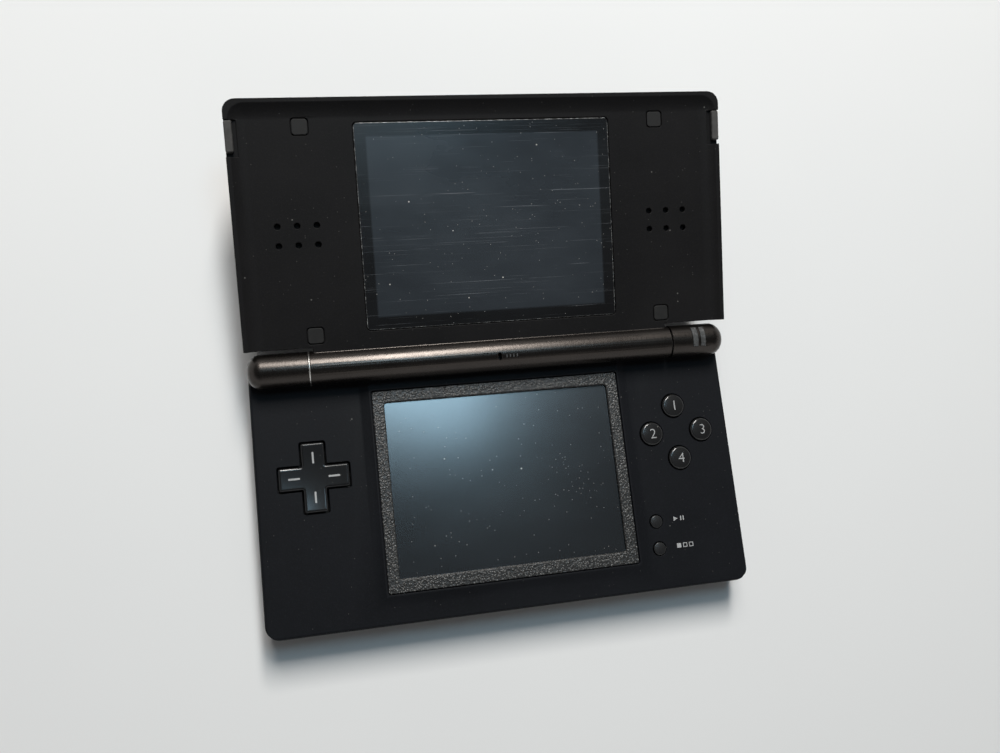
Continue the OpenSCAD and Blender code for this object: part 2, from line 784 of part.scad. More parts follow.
module menu_membrane() {
    color(rubber_grey) {
        slab([menu_x - 2.4, menu_x + 2.4], [-menu_y - menu_pitch - 2.4, -menu_y + 2.4],
            [membrane_z, membrane_z + membrane_t], 1.5);
        for (i = [0, 1]) dome(menu_x, -menu_y - i * menu_pitch, 1.5, dome_top);
    }
}

module card_reader() {
    x = [card_x - card_w / 2, card_x + card_w / 2];
    color(soft_black) difference() {
        slab([x[0] - reader_wall, x[1] + reader_wall], [inner_back - card_d - 0.9, inner_back - fit],
            [card_z0 - reader_wall, board_z - gap / 2]);
        slab(x, [inner_back - card_d, inner_back + over], [card_z0, card_z0 + card_h]);
    }
}

module cartridge_bay() {
    color(soft_black) difference() {
        slab([-bay_x - bay_wall - 0.6, bay_x + bay_wall + 0.6], [-inner_front + fit, bay_y1],
            [bay_z0 - bay_wall, bay_z1 + bay_wall]);
        slab([-bay_x, bay_x], [-inner_front - over, bay_y1 - bay_back], [bay_z0, bay_z1]);
    }
}

module cartridge_connector() {
    color(soft_black) difference() {
        slab([-connector_x, connector_x], [bay_y1 - connector_d, bay_y1 - bay_back - fit], connector_z);
        slab([-connector_x + connector_wall, connector_x - connector_wall],
            [bay_y1 - connector_d - over, bay_y1 - connector_back],
            [connector_z[0] + connector_lip, connector_z[1] - connector_lip]);
    }
}

module charge_socket() {
    color(metal_grey) difference() {
        slab(charge_x, [-3.5, inner_back - fit], charge_z);
        slab([charge_x[0] + 1.4, charge_x[1] - 1.4], [-2.2, inner_back + over],
            [charge_z[0] + 0.6, charge_z[1] - 0.6]);
    }
}

module headphone_socket() {
    color(soft_black) difference() {
        union() {
            slab([jack_x - socket_half, jack_x + socket_half],
                [-inner_front + fit, -base_front + jack_d + socket_end],
                [jack_z - socket_below, board_z - gap / 2]);
            rod_y(jack_x, [-base_front + gap / 2, -inner_front + over], jack_z, nose_r);
        }
        rod_y(jack_x, [-base_front - over, -base_front + jack_d], jack_z, jack_r);
    }
}

module volume_control() {
    color(soft_black) difference() {
        slab([volume_x - 7.4, volume_x + 7.4], [-inner_front + 1.2, -inner_front + 4.6],
            [side_z - 1.8, board_z - gap / 2]);
        slab([volume_x - 1.2 - volume_travel, volume_x + 1.2 + volume_travel],
            [-inner_front, -inner_front + 3.6], [side_z - 0.6, side_z + 0.6]);
    }
}

module power_switch() {
    color(metal_grey) difference() {
        slab([inner_w - 5.8, inner_w - 1.4], [power_y - 4, power_y + 3 + power_travel],
            [side_z - 1.6, board_z - gap / 2]);
        slab([inner_w - 3.6, inner_w], [power_y - 1.7, power_y + 1.7 + power_travel],
            [side_z - 0.7, side_z + 0.7]);
    }
}

module stylus_holder() {
    color(soft_black) difference() {
        slab([holder_x0 - 1, inner_w - fit], [stylus_y - holder_y, stylus_y + holder_y],
            [floor_top + gap / 2, board_z - gap]);
        rod_x([holder_x0, half_w + over], stylus_y, stylus_z, holder_r);
    }
}

module strap_bar() {
    color(metal_grey) post(strap_x, strap_y, [floor_top + 1, parting_z - 0.2], strap_r);
}

module shoulder_pins() {
    color(metal_grey) both_sides() post(pivot_x, pivot_y, [floor_top, face_z - 0.7], pivot_r);
}

module shoulder_springs() {
    color(metal_grey) both_sides() difference() {
        post(pivot_x, pivot_y, [hub_z[0] + gap, hub_z[1] - gap], spring_r);
        post(pivot_x, pivot_y, [hub_z[0] - over, hub_z[1] + over], pivot_r + fit);
    }
}

module shoulder_switches() {
    front = room_front - wall;
    color(soft_black) both_sides() {
        slab([switch_x - 2.4, switch_x + 2.4], [front - 2.2, front - gap], [board_top + gap / 2, switch_top]);
        slab([switch_x - 0.9, switch_x + 0.9], [front - 1, shoulder_front - 1.1], finger_z);
    }
}

module hinge_bush() {
    color(metal_grey) translate([0, 0, axis_z])
        tube_x([-knuckle_x1 + 3, -barrel_half + bush_in], ribbon_r + 0.3, bore_r - fit);
}

module hinge_clutch() {
    color(metal_grey) translate([0, 0, axis_z]) {
        rod_x([knuckle_x0, knuckle_x1 - 2.8], 0, 0, bore_r - fit);
        rod_x([barrel_half - bush_in, knuckle_x0 + over], 0, 0, shaft_r);
    }
}

module status_lights() {
    color([0.8, 0.82, 0.84]) light_sectors(0, bore_r + contact, barrel_r + contact);
}

// ---------------------------------------------------------------- controls

module pad_pivot() {
    color(soft_black) translate([-pad_x, -pad_y, ball_z]) {
        sphere(r = ball_r);
        cylinder(r = ball_r * 0.7, h = rocker_z - gap / 2 - ball_z);
    }
}

module direction_pad() {
    top = face_z + proud;
    bowl = (pow(pad_reach - dip_end, 2) + pow(pad_dip, 2)) / (2 * pad_dip);
    color(soft_black) translate([-pad_x, -pad_y, 0]) difference() {
        union() {
            post(0, 0, [rocker_z, rocker_z + rocker_t], rocker_r);
            translate([0, 0, rocker_z]) linear_extrude(top - rocker_z) cross(pad_reach, pad_arm);
        }
        // broad dip that the thumb rests in, and the groove along each arm
        translate([0, 0, top - pad_dip + bowl]) sphere(r = bowl, $fn = 180);
        for (p = button_places) translate([dash_r * p[0], dash_r * p[1], top - pad_dip])
            linear_extrude(over) square(p[0] == 0 ? dash : [dash[1], dash[0]], center = true);
    }
}

// Round button with a retaining flange and a crowned top
module push_button(x, y, r, flange, top) {
    crown = r * r * crown_share + 0.12;
    ball = (r * r + crown * crown) / (2 * crown);
    translate([x, y, 0]) {
        post(0, 0, [flange_z, flange_z + flange_t], flange);
        post(0, 0, [flange_z, top - crown], r);
        intersection() {
            post(0, 0, [top - crown - gap, top], r);
            translate([0, 0, top - ball]) sphere(r = ball, $fn = 96);
        }
    }
}

module face_button(i) {
    color(soft_black) push_button(cluster_x + cluster_r * button_places[i][0],
        -cluster_y + cluster_r * button_places[i][1], button_r, button_r + 0.9, face_z + proud);
}

module menu_button(i) {
    color(soft_black) push_button(menu_x, -menu_y - i * menu_pitch, menu_r, menu_r + 0.7,
        face_z + proud * 0.5);
}

// Right shoulder button, hinged on the pin at its inner end
module shoulder_button() {
    difference() {
        intersection() {
            slab([shoulder_x0, half_w], [shoulder_front, base_back], [shoulder_z0, shoulder_z1]);
            slab([-half_w + 0.15, half_w - 0.15], [-base_front, base_back - 0.1],
                [shoulder_z0, shoulder_z1], corner_r);
        }
        slab([pivot_x + 3, half_w - 2.2], [shoulder_front - over, base_back - 2.2],
            [shoulder_z0 + 1.2, shoulder_z1 - 1.2]);
        post(pivot_x, pivot_y, [shoulder_z0 - over, shoulder_z1 + over], pivot_r + fit);
        post(pivot_x, pivot_y, hub_z, spring_r + gap);
        slab([shoulder_x0 - over, pivot_x], [shoulder_front - over, base_back - 1.4], hub_z);
        // relief so that the inner end clears the case as it turns
        slab([shoulder_x0 - over, shoulder_x0 + 0.45], [base_back - 2.6, base_back + over],
            [shoulder_z0 - over, shoulder_z1 + over]);
    }
    slab([switch_x - 1.4, switch_x + 1.4], [shoulder_front, base_back - 2.1],
        [finger_z[0] - 0.5, finger_z[1] + 0.15]);
}

module left_shoulder_button() {
    color(soft_black) mirror([1, 0, 0]) shoulder_button();
}

module right_shoulder_button() {
    color(soft_black) shoulder_button();
}

module power_slider() {
    color(soft_black) {
        slab([inner_w + 0.2, half_w + 0.6], [power_y - 3.1, power_y + 3.1],
            [side_z - 0.9, side_z + 0.9], 0.2);
        slab([inner_w - 3.3, inner_w + 0.3], [power_y - 1.4, power_y + 1.4], [side_z - 0.5, side_z + 0.5]);
    }
}

module volume_slider() {
    color(soft_black) {
        slab([volume_x - 2.5, volume_x + 2.5], [-base_front - 0.5, -inner_front - 0.2],
            [side_z - 0.7, side_z + 0.7]);
        slab([volume_x - 1, volume_x + 1], [-inner_front - 0.3, -inner_front + 3.4],
            [side_z - 0.45, side_z + 0.45]);
    }
}

module stylus() {
    tip = 7;
    inner_end = half_w - stylus_l - 0.1;
    color(soft_black) {
        difference() {
            rod_x([inner_end + tip, half_w - 0.1], stylus_y, stylus_z, stylus_r);
            // grip groove at the outer end
            translate([half_w - 3.4, stylus_y, stylus_z]) rotate([0, 90, 0]) rotate_extrude()
                translate([stylus_r + 0.6, 0]) circle(0.9);
        }
        translate([inner_end + tip, stylus_y, stylus_z]) rotate([0, -90, 0])
            cylinder(r1 = stylus_r, r2 = 0.8, h = tip - 0.4);
        translate([inner_end + 0.8, stylus_y, stylus_z]) sphere(r = 0.8);
    }
}

module cartridge_cover() {
    z1 = cover_z0 + cover_h;
    color(soft_black) difference() {
        union() {
            slab([-cover_w / 2, cover_w / 2], [-base_front, -base_front + 2.4], [cover_z0, z1]);
            slab([-cover_w / 2 + 0.6, cover_w / 2 - 0.6], [-base_front + 2, -base_front + cover_d],
                [cover_z0 + 0.5, z1 - 0.5]);
        }
        slab([-cover_w / 2 + 3, cover_w / 2 - 3], [-base_front + 3.6, -base_front + cover_d + over],
            [cover_z0 + 1.6, z1 + over]);
        // finger grip along the lower front edge
        slab([-cover_grip, cover_grip], [-base_front - over, -base_front + 0.6], [cover_z0 - over, cover_z0 + 0.9]);
    }
}

// ---------------------------------------------------------------- lid

// Hollow of the dished inner face
module dish_cut() {
    intersection() {
        union() {
            slab([-flat_x, flat_x], [-2 * lid_reach, flat_d], [floor_h, rim_h + over]);
            for (x = [-flat_x, flat_x]) {
                translate([x, flat_d, floor_h + dish_r]) rotate([90, 0, 0])
                    cylinder(r = dish_r, h = 2 * lid_reach, $fn = 128);
                translate([x, flat_d, floor_h + dish_r]) sphere(r = dish_r, $fn = 128);
            }
            rod_x([-flat_x, flat_x], flat_d, floor_h + dish_r, dish_r);
        }
        slab([-half_w, half_w], [lid_start - fit, lid_reach], [floor_h, rim_h + over]);
    }
}

// Outline of the lid: round far corners, square near corners
module lid_plan(inset = 0) {
    rounded([-half_w + inset, half_w - inset], [lid_reach / 2, lid_reach - inset], lid_corner_r - inset);
    rounded([-half_w + inset, half_w - inset], [lid_start + inset, lid_reach - 2 * lid_corner_r]);
}

// Half of the barrel, towards the user (side 1) or the outer face (side -1)
module barrel_half_shell(side) {
    intersection() {
        tube_x([-barrel_half, barrel_half], bore_r, barrel_r);
        slab([-half_w, half_w], [-2 * barrel_r, 2 * barrel_r],
            side > 0 ? [0, 2 * barrel_r] : [-2 * barrel_r, -gap / 5]);
    }
}

module lid_inner_case() {
    color(case_black) in_lid() difference() {
        union() {
            difference() {
                translate([0, 0, -lid_parting]) linear_extrude(rim_h + lid_parting) lid_plan();
                translate([0, 0, -lid_parting - over]) linear_extrude(plate_h + lid_parting + over)
                    lid_plan(wall);
            }
            barrel_half_shell(1);
            slab([-neck_x, neck_x], [barrel_r - 1, lid_start + wall], [plate_h, floor_h]);
            for (x = [-lid_screw_x, lid_screw_x], d = lid_screw_d)
                post(x, d, [-lid_parting, plate_h + gap], boss_r + 0.2);
        }
        dish_cut();
        // seat of the lens and the window through it
        slab([-lens_x - lens_gap, lens_x + lens_gap],
            [lens_start - lens_gap, lens_start + lens_d + lens_gap], [lens_h, rim_h + over], 1.2);
        slab([-picture_w / 2 - 1, picture_w / 2 + 1],
            [upper_mid - picture_h / 2 - 1, upper_mid + picture_h / 2 + 1], [-over, rim_h + over]);
        for (s = [-1, 1], i = [-1 : 1], j = [-0.5, 0.5])
            post(s * (speaker_x + i * speaker_pitch), speaker_d + j * speaker_pitch,
                [plate_h - over, rim_h], speaker_hole_r);
        for (x = [-lid_screw_x, lid_screw_x], d = lid_screw_d) {
            slab([x - pad_half - gap, x + pad_half + gap], [d - pad_half - gap, d + pad_half + gap],
                [floor_h - lid_screw_sink, rim_h + over], 0.9);
            post(x, d, [0, floor_h], screw_head_r + 0.15);
            post(x, d, [-lid_parting - over, floor_h], screw_r + 0.25);
        }
        both_sides() slab([half_w - bumper_w - 1, half_w + over], bumper_d, [floor_h + gap, rim_h + over]);
        // sound hole of the microphone
        for (d = [-0.4, 0.4]) post(mic_x, d, [bore_r - over, barrel_r + over], 0.55);
    }
}

module lid_outer_case() {
    top = -lid_parting - gap / 2;
    color(case_black) in_lid() difference() {
        union() {
            difference() {
                intersection() {
                    translate([0, 0, -lid_back_h]) linear_extrude(top + lid_back_h) lid_plan();
                    keel([-half_w, half_w], [lid_start, lid_reach], [-lid_back_h, top], lid_edge_r);
                }
                translate([0, 0, -lid_back_h + wall]) linear_extrude(lid_back_h) lid_plan(wall);
            }
            barrel_half_shell(-1);
            slab([-neck_x, neck_x], [0, lid_start + 2 * wall], [-barrel_r, -bore_r]);
            slab([-neck_x, neck_x], [bore_r, lid_start + wall], [-barrel_r, top]);
            for (x = [-lid_screw_x, lid_screw_x], d = lid_screw_d)
                post(x, d, [-lid_back_h + wall - gap, top], boss_r - 0.3);
        }
        for (x = [-lid_screw_x, lid_screw_x], d = lid_screw_d)
            post(x, d, [top - 2.2, top + over], screw_r + contact);
        // way of the ribbon from the barrel into the lid
        slab([ribbon_x[0] - 0.5, ribbon_x[1] + 0.5], [2, lid_start + 2 * wall], [-1.9, over]);
    }
}

module upper_lens() {
    color(glass_dark) in_lid() slab([-lens_x, lens_x], [lens_start, lens_start + lens_d],
        [lens_h, lens_h + lens_t], 1);
}

module upper_display() {
    color(glass_dark) in_lid() slab([-lens_x + 0.6, lens_x - 0.6],
        [upper_mid - picture_h / 2 - 2, upper_mid + picture_h / 2 + 2], [plate_h - 2.2, plate_h - gap / 2]);
}

module display_shield() {
    color(metal_grey) in_lid() slab([-lens_x, lens_x],
        [upper_mid - picture_h / 2 - 2.2, upper_mid + picture_h / 2 + 2.2],
        [plate_h - 2.7, plate_h - 2.2 - gap / 2]);
}

module lid_speakers() {
    color(soft_black) in_lid() for (s = [-1, 1])
        post(s * speaker_x, speaker_d, [plate_h - speaker_t, plate_h - gap / 2], speaker_r);
}

module lid_screws() {
    color(metal_grey) in_lid() for (x = [-lid_screw_x, lid_screw_x], d = lid_screw_d) {
        post(x, d, [gap / 2, 0.95], screw_head_r);
        post(x, d, [-lid_parting - 2, gap], screw_r);
    }
}

module lid_screw_pads() {
    color(rubber_grey) in_lid() for (x = [-lid_screw_x, lid_screw_x], d = lid_screw_d)
        slab([x - pad_half, x + pad_half], [d - pad_half, d + pad_half],
            [floor_h - lid_screw_sink + gap / 2, floor_h + 0.12], 0.8);
}

module lid_side_bumpers() {
    color(rubber_grey) in_lid() both_sides()
        slab([half_w - bumper_w, half_w], [bumper_d[1] - gap - bumper_l, bumper_d[1] - gap],
            [floor_h + gap + fit, rim_h - gap]);
}

module hinge_cam() {
    color(metal_grey) in_lid()
        tube_x([barrel_half - bush_in, barrel_half - gap], shaft_r + fit, bore_r - contact);
}

module microphone() {
    color(metal_grey) in_lid() difference() {
        union() {
            post(mic_x, 0, [1.4, 2.6], mic_r + 0.6);
            post(mic_x, 0, [1.4, 2.95], mic_r);
        }
        post(mic_x, 0, [2.6, 4], mic_r - 0.4);
    }
}

module display_ribbon() {
    color([0.75, 0.45, 0.2]) in_lid() {
        tube_x([-knuckle_x1 + 3.2, ribbon_x[1]], ribbon_r - ribbon_t, ribbon_r);
        slab(ribbon_x, [1.6, upper_mid - picture_h / 2 - 2.5], [-1.6, -1.6 + ribbon_t]);
    }
}

module lid_magnet() {
    color(metal_grey) in_lid() slab(magnet_x, magnet_d, [plate_h - magnet_t, plate_h - gap / 2]);
}

base_bottom_case();
base_top_case();
battery_cover();
battery_cover_screw();
battery_pack();
base_screws();
rubber_feet();
main_board();
wireless_module();
shield_can();
touch_ring();
touch_panel();
touch_gasket();
lower_display();
display_bracket();
pad_membrane();
button_membrane();
menu_membrane();
card_reader();
cartridge_bay();
cartridge_connector();
charge_socket();
headphone_socket();
volume_control();
power_switch();
stylus_holder();
strap_bar();
shoulder_pins();
shoulder_springs();
shoulder_switches();
hinge_bush();
hinge_clutch();
status_lights();
pad_pivot();
direction_pad();
face_button(0);  // button_top
face_button(1);  // button_left
face_button(2);  // button_right
face_button(3);  // button_bottom
menu_button(0);  // button_start
menu_button(1);  // button_select
left_shoulder_button();
right_shoulder_button();
power_slider();
volume_slider();
stylus();
cartridge_cover();
lid_inner_case();
lid_outer_case();
upper_lens();
upper_display();
display_shield();
lid_speakers();
lid_screws();
lid_screw_pads();
lid_side_bumpers();
hinge_cam();
microphone();
display_ribbon();
lid_magnet();
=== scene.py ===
"""Dress of the clamshell handheld console: finishes, softened shells, screens, marks, light and camera.

Lengths are in millimetres, and become metres where a mesh or a lamp is made.
"""

import json
import logging
import math
from dataclasses import dataclass, field
from enum import Enum

import bmesh
import bpy
import numpy as np
from mathutils import Euler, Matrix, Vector
from mathutils.geometry import tessellate_polygon


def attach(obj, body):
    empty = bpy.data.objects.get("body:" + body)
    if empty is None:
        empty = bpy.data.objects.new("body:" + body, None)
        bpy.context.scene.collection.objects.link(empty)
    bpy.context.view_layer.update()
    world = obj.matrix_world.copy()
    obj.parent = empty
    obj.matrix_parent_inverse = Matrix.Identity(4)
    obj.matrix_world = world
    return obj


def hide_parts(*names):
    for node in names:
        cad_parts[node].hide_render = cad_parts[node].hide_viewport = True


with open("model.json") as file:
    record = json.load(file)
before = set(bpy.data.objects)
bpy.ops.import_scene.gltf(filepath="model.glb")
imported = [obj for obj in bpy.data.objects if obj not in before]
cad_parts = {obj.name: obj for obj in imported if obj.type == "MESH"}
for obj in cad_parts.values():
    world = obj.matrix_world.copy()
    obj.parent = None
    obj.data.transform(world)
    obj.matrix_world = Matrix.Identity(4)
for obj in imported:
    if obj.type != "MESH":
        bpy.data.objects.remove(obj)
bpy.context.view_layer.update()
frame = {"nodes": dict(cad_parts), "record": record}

log = logging.getLogger("console")
logging.basicConfig(level=logging.INFO, format="%(name)s: %(message)s")

Pair = tuple[float, float]
Triple = tuple[float, float, float]
Value = bpy.types.NodeSocket | float

# Scale to metres, then the hinge axis, its barrel, the open lid's slope, and the least radius of an arc.
MM = 0.001
AXIS_Z = 16.2
BARREL_R = 4.6
LID_TILT = math.radians(15)
TINY = 1e-4
# Angles in degrees: faces that join into one panel, and edges that stay sharp on cases and on shaped pieces.
PANEL = 0.4
CASE_CREASE = 30.0
SHAPED_CREASE = 50.0
# Tones of what lies on the surfaces.
LINT = (0.40, 0.39, 0.36)
RUBBER_LINT = (0.40, 0.39, 0.37)
PALE_LINT = (0.55, 0.53, 0.50)
SCRATCH = (0.20, 0.21, 0.23)
# Pale scuffs along the lens's edge, which also carry a painted highlight on that edge.
SCUFF_AND_HIGHLIGHT = (0.48, 0.48, 0.47)


# ---------------------------------------------------------------- shapes


def rounded_loop(x: Pair, y: Pair, r: float, steps: int = 8) -> np.ndarray:
    """Rectangle with rounded corners, anticlockwise from the lower right corner.

    Each corner is a quarter circle: centre plus r times (cos t, sin t).

    Args:
        x: left and right side.
        y: lower and upper side.
        r: radius of the corners.
        steps: points of each quarter circle, less one.

    Returns:
        Array of 4 * (steps + 1) points in the plan.
    """
    r = max(r, TINY)
    t = np.linspace(0, np.pi / 2, steps + 1)
    corners = ((x[1] - r, y[0] + r, -np.pi / 2), (x[1] - r, y[1] - r, 0), (x[0] + r, y[1] - r, np.pi / 2),
               (x[0] + r, y[0] + r, np.pi))
    return np.concatenate([np.stack([cx + r * np.cos(t + a), cy + r * np.sin(t + a)], 1)
                           for cx, cy, a in corners])


def circle_loop(centre: Pair, r: float, count: int) -> np.ndarray:
    """Circle in the plan, anticlockwise: centre plus r times (cos t, sin t).

    Args:
        centre: middle of the circle.
        r: its radius.
        count: number of points.

    Returns:
        Array of count points in the plan.
    """
    t = np.linspace(0, 2 * np.pi, count, endpoint=False)
    return np.stack([centre[0] + r * np.cos(t), centre[1] + r * np.sin(t)], 1)


def lift(loop: np.ndarray, z: float) -> np.ndarray:
    """Puts a loop of the plan at height z."""
    return np.column_stack([loop, np.full(len(loop), z)])


def ring_faces(rings: int, count: int, first: int = 0) -> np.ndarray:
    """Quads between neighbouring rings of points, each ring joined to the next.

    Args:
        rings: number of rings.
        count: points in each ring.
        first: index of the first point.

    Returns:
        Array of quads as indices.
    """
    i = np.arange(rings - 1)[:, None] * count
    j = np.arange(count)[None, :]
    k = (j + 1) % count
    return first + np.stack([i + j, i + k, i + count + k, i + count + j], -1).reshape(-1, 4)


@dataclass
class Surface:
    """Points and faces of one piece, in millimetres, gathered from several patches."""

    points: list[np.ndarray] = field(default_factory=list)
    faces: list[list[int]] = field(default_factory=list)
    count: int = 0

    def add_points(self, points: np.ndarray) -> int:
        """Adds points.

        Args:
            points: array of points.

        Returns:
            Index of the first one.
        """
        first = self.count
        self.points.append(np.asarray(points, float).reshape(-1, 3))
        self.count += len(self.points[-1])
        return first

    def add_rings(self, rings: list[np.ndarray], caps: tuple[bool, bool] = (False, False),
                  flip: bool = False) -> None:
        """Adds a skin over a row of closed rings, with a flat face at either end where asked.

        Args:
            rings: rings of equal length, from the bottom up for outward faces.
            caps: whether the first and the last ring are filled.
            flip: turns the faces over.
        """
        count = len(rings[0])
        first = self.add_points(np.concatenate(rings))
        quads = ring_faces(len(rings), count, first)
        if flip:
            quads = quads[:, ::-1]
        self.faces.extend(quads.tolist())
        ends = (list(range(first + count - 1, first - 1, -1)),
                list(range(first + (len(rings) - 1) * count, first + len(rings) * count)))
        for end, wanted in zip(ends, caps):
            if wanted:
                self.faces.append(end[::-1] if flip else end)

    def add_plate(self, loops: list[np.ndarray], z: float, up: bool = True) -> None:
        """Adds a flat plate at height z with holes.

        Args:
            loops: outline first, then the holes, in the plan.
            z: height of the plate.
            up: whether the plate faces up.
        """
        flat = np.concatenate(loops)
        first = self.add_points(lift(flat, z))
        tris = np.array(tessellate_polygon([[Vector((*p, 0)) for p in loop] for loop in loops]))
        a, b, c = (flat[tris[:, i]] for i in range(3))
        turn = np.cross(b - a, c - a)
        whole = np.abs(turn) > 1e-9
        tris, turn = tris[whole], turn[whole]
        wrong = (turn < 0) == up
        tris[wrong] = tris[wrong][:, ::-1]
        self.faces.extend((tris + first).tolist())


def lathe(profile: np.ndarray, centre: Pair, count: int = 72) -> list[np.ndarray]:
    """Rings of a turned shape: each profile point (r, z) becomes a circle of radius r at height z.

    Args:
        profile: rows of radius and height, from the bottom up.
        centre: place of the axis in the plan.
        count: points around.

    Returns:
        One ring for each profile point.
    """
    return [lift(circle_loop(centre, max(r, TINY), count), z) for r, z in profile]


def arc(centre: Pair, r: float, start: float, end: float, steps: int) -> np.ndarray:
    """Points on a circle from one angle to another, in degrees.

    Args:
        centre: middle of the circle.
        r: its radius.
        start: first angle.
        end: last angle.
        steps: number of steps.

    Returns:
        Array of steps + 1 points.
    """
    t = np.radians(np.linspace(start, end, steps + 1))
    return np.stack([centre[0] + r * np.cos(t), centre[1] + r * np.sin(t)], 1)


# ---------------------------------------------------------------- finishes


def toned(colour: Triple, share: float, lift: float = 0.0) -> Triple:
    """Scales a colour by a share, adds a little grey, and holds it at white."""
    return tuple(min(1.0, c * share + lift) for c in colour)


class Tree:
    """Node tree of a material or of the surroundings, with short ways to add nodes."""

    def __init__(self, tree: bpy.types.NodeTree) -> None:
        """Takes the tree that the nodes go into."""
        self.tree = tree

    def add(self, kind: str, inputs: dict | None = None, **settings) -> bpy.types.Node:
        """Adds a node.

        Args:
            kind: type of the node.
            inputs: values or sockets for its inputs.
            **settings: its properties.

        Returns:
            The node.
        """
        node = self.tree.nodes.new(kind)
        for key, value in settings.items():
            setattr(node, key, value)
        for key, value in (inputs or {}).items():
            self.feed(node.inputs[key], value)
        return node

    def feed(self, socket: bpy.types.NodeSocket, value: Value | tuple) -> None:
        """Links a socket to another socket, or sets its value.

        Args:
            socket: input that is fed.
            value: another node's output, or the value itself.
        """
        if isinstance(value, bpy.types.NodeSocket):
            self.tree.links.new(value, socket)
        else:
            socket.default_value = value

    def span(self, value: Value, low: float, high: float, to_low: float = 0.0, to_high: float = 1.0,
             smooth: bool = False) -> bpy.types.NodeSocket:
        """Maps a value from one span to another, held at its ends.

        Args:
            value: socket to map.
            low: value that becomes to_low.
            high: value that becomes to_high.
            to_low: result at low.
            to_high: result at high.
            smooth: eases in and out.

        Returns:
            The mapped value.
        """
        node = self.add("ShaderNodeMapRange", {"Value": value, "From Min": low, "From Max": high,
                                               "To Min": to_low, "To Max": to_high})
        node.interpolation_type = "SMOOTHSTEP" if smooth else "LINEAR"
        return node.outputs["Result"]

    def math(self, operation: str, a: Value, b: Value = 0.0, c: Value = 0.0) -> bpy.types.NodeSocket:
        """Adds a math node.

        Args:
            operation: what it does.
            a: first value.
            b: second value, where it takes one.
            c: third value, where it takes one.

        Returns:
            Its result.
        """
        node = self.add("ShaderNodeMath", operation=operation)
        for socket, value in zip(node.inputs, (a, b, c)):
            self.feed(socket, value)
        return node.outputs[0]

    def times(self, a: Value, b: Value) -> bpy.types.NodeSocket:
        """Multiplies two values."""
        return self.math("MULTIPLY", a, b)

    def seen(self) -> bpy.types.NodeSocket:
        """Adds the test of whether a ray shows the backdrop.

        Returns:
            1 for camera, glossy and transmission rays, else 0.
        """
        path = self.add("ShaderNodeLightPath").outputs
        shown = self.math("MAXIMUM", path["Is Camera Ray"], path["Is Glossy Ray"])
        return self.math("MAXIMUM", shown, path["Is Transmission Ray"])


class Graph(Tree):
    """Node tree of one material."""

    def __init__(self, name: str) -> None:
        """Starts a material with an empty Principled shader.

        Args:
            name: name of the material.
        """
        self.material = bpy.data.materials.new(name)
        self.material.use_nodes = True
        super().__init__(self.material.node_tree)
        self.shader = self.tree.nodes["Principled BSDF"]
        self.place = self.add("ShaderNodeTexCoord").outputs["Object"]

    def set(self, name: str, value: Value | tuple) -> None:
        """Feeds an input of the shader."""
        self.feed(self.shader.inputs[name], value)

    def noise(self, scale: float, detail: float = 4.0, rough: float = 0.55, stretch: Triple = (1, 1, 1),
              shift: Triple = (0, 0, 0)) -> bpy.types.NodeSocket:
        """Adds fractal noise over the object's own coordinates.

        Args:
            scale: waves per metre.
            detail: octaves.
            rough: strength of the finer octaves.
            stretch: scale along each axis.
            shift: offset of the pattern.

        Returns:
            The noise's factor.
        """
        place = self.place
        if stretch != (1, 1, 1) or shift != (0, 0, 0):
            where = {"Vector": place, "Scale": stretch, "Location": shift}
            place = self.add("ShaderNodeMapping", where).outputs[0]
        return self.add("ShaderNodeTexNoise", {"Vector": place, "Scale": scale, "Detail": detail,
                                               "Roughness": rough}).outputs["Fac"]

    def mix(self, factor: Value, a: Value | Triple, b: Value | Triple) -> bpy.types.NodeSocket:
        """Mixes two colours.

        Args:
            factor: share of the second one.
            a: first colour.
            b: second colour.

        Returns:
            The mixed colour.
        """
        node = self.add("ShaderNodeMix", data_type="RGBA")
        self.feed(node.inputs[0], factor)
        for socket, value in ((node.inputs[6], a), (node.inputs[7], b)):
            self.feed(socket, (*value, 1.0) if isinstance(value, tuple) and len(value) == 3 else value)
        return node.outputs[2]

    def bump(self, height: Value, distance: float, strength: Value = 1.0,
             below: bpy.types.NodeSocket | None = None) -> bpy.types.NodeSocket:
        """Adds a bump of a height field, on top of another bump where given.

        Args:
            height: socket of the height, 0 to 1.
            distance: depth in metres.
            strength: share of the effect.
            below: normal that it is added to.

        Returns:
            The normal.
        """
        inputs = {"Height": height, "Distance": distance, "Strength": strength}
        if below is not None:
            inputs["Normal"] = below
        return self.add("ShaderNodeBump", inputs).outputs["Normal"]


def dust(graph: Graph, density: Value, size: float, scale: float,
         shift: Triple = (0, 0, 0)) -> bpy.types.NodeSocket:
    """Sparse round specks: cells of a Voronoi pattern, of which only a few hold a speck.

    Args:
        graph: material that they go into.
        density: share of the cells that hold one.
        size: radius of a speck as a share of its cell.
        scale: cells per metre.
        shift: offset of the pattern.

    Returns:
        Factor that is 1 on a speck.
    """
    place = graph.add("ShaderNodeMapping", {"Vector": graph.place, "Location": shift}).outputs[0]
    cells = graph.add("ShaderNodeTexVoronoi", {"Vector": place, "Scale": scale})
    chance = graph.add("ShaderNodeSeparateColor", {"Color": cells.outputs["Color"]}).outputs[0]
    pick = graph.math("GREATER_THAN", chance, graph.math("SUBTRACT", 1.0, density))
    return graph.times(pick, graph.span(cells.outputs["Distance"], size, size * 0.5))


@dataclass(frozen=True)
class Finish:
    """Finish of a piece: its name, its tone, and a way to paint it on a material."""

    name: str
    colour: Triple

    def make(self) -> bpy.types.Material:
        """Makes the material.

        Returns:
            The painted material.
        """
        g = Graph(self.name)
        self.paint(g)
        return g.material

    def paint(self, g: Graph) -> None:
        """Feeds the shader's inputs; each kind of finish has its own way."""
        raise NotImplementedError(type(self).__name__)


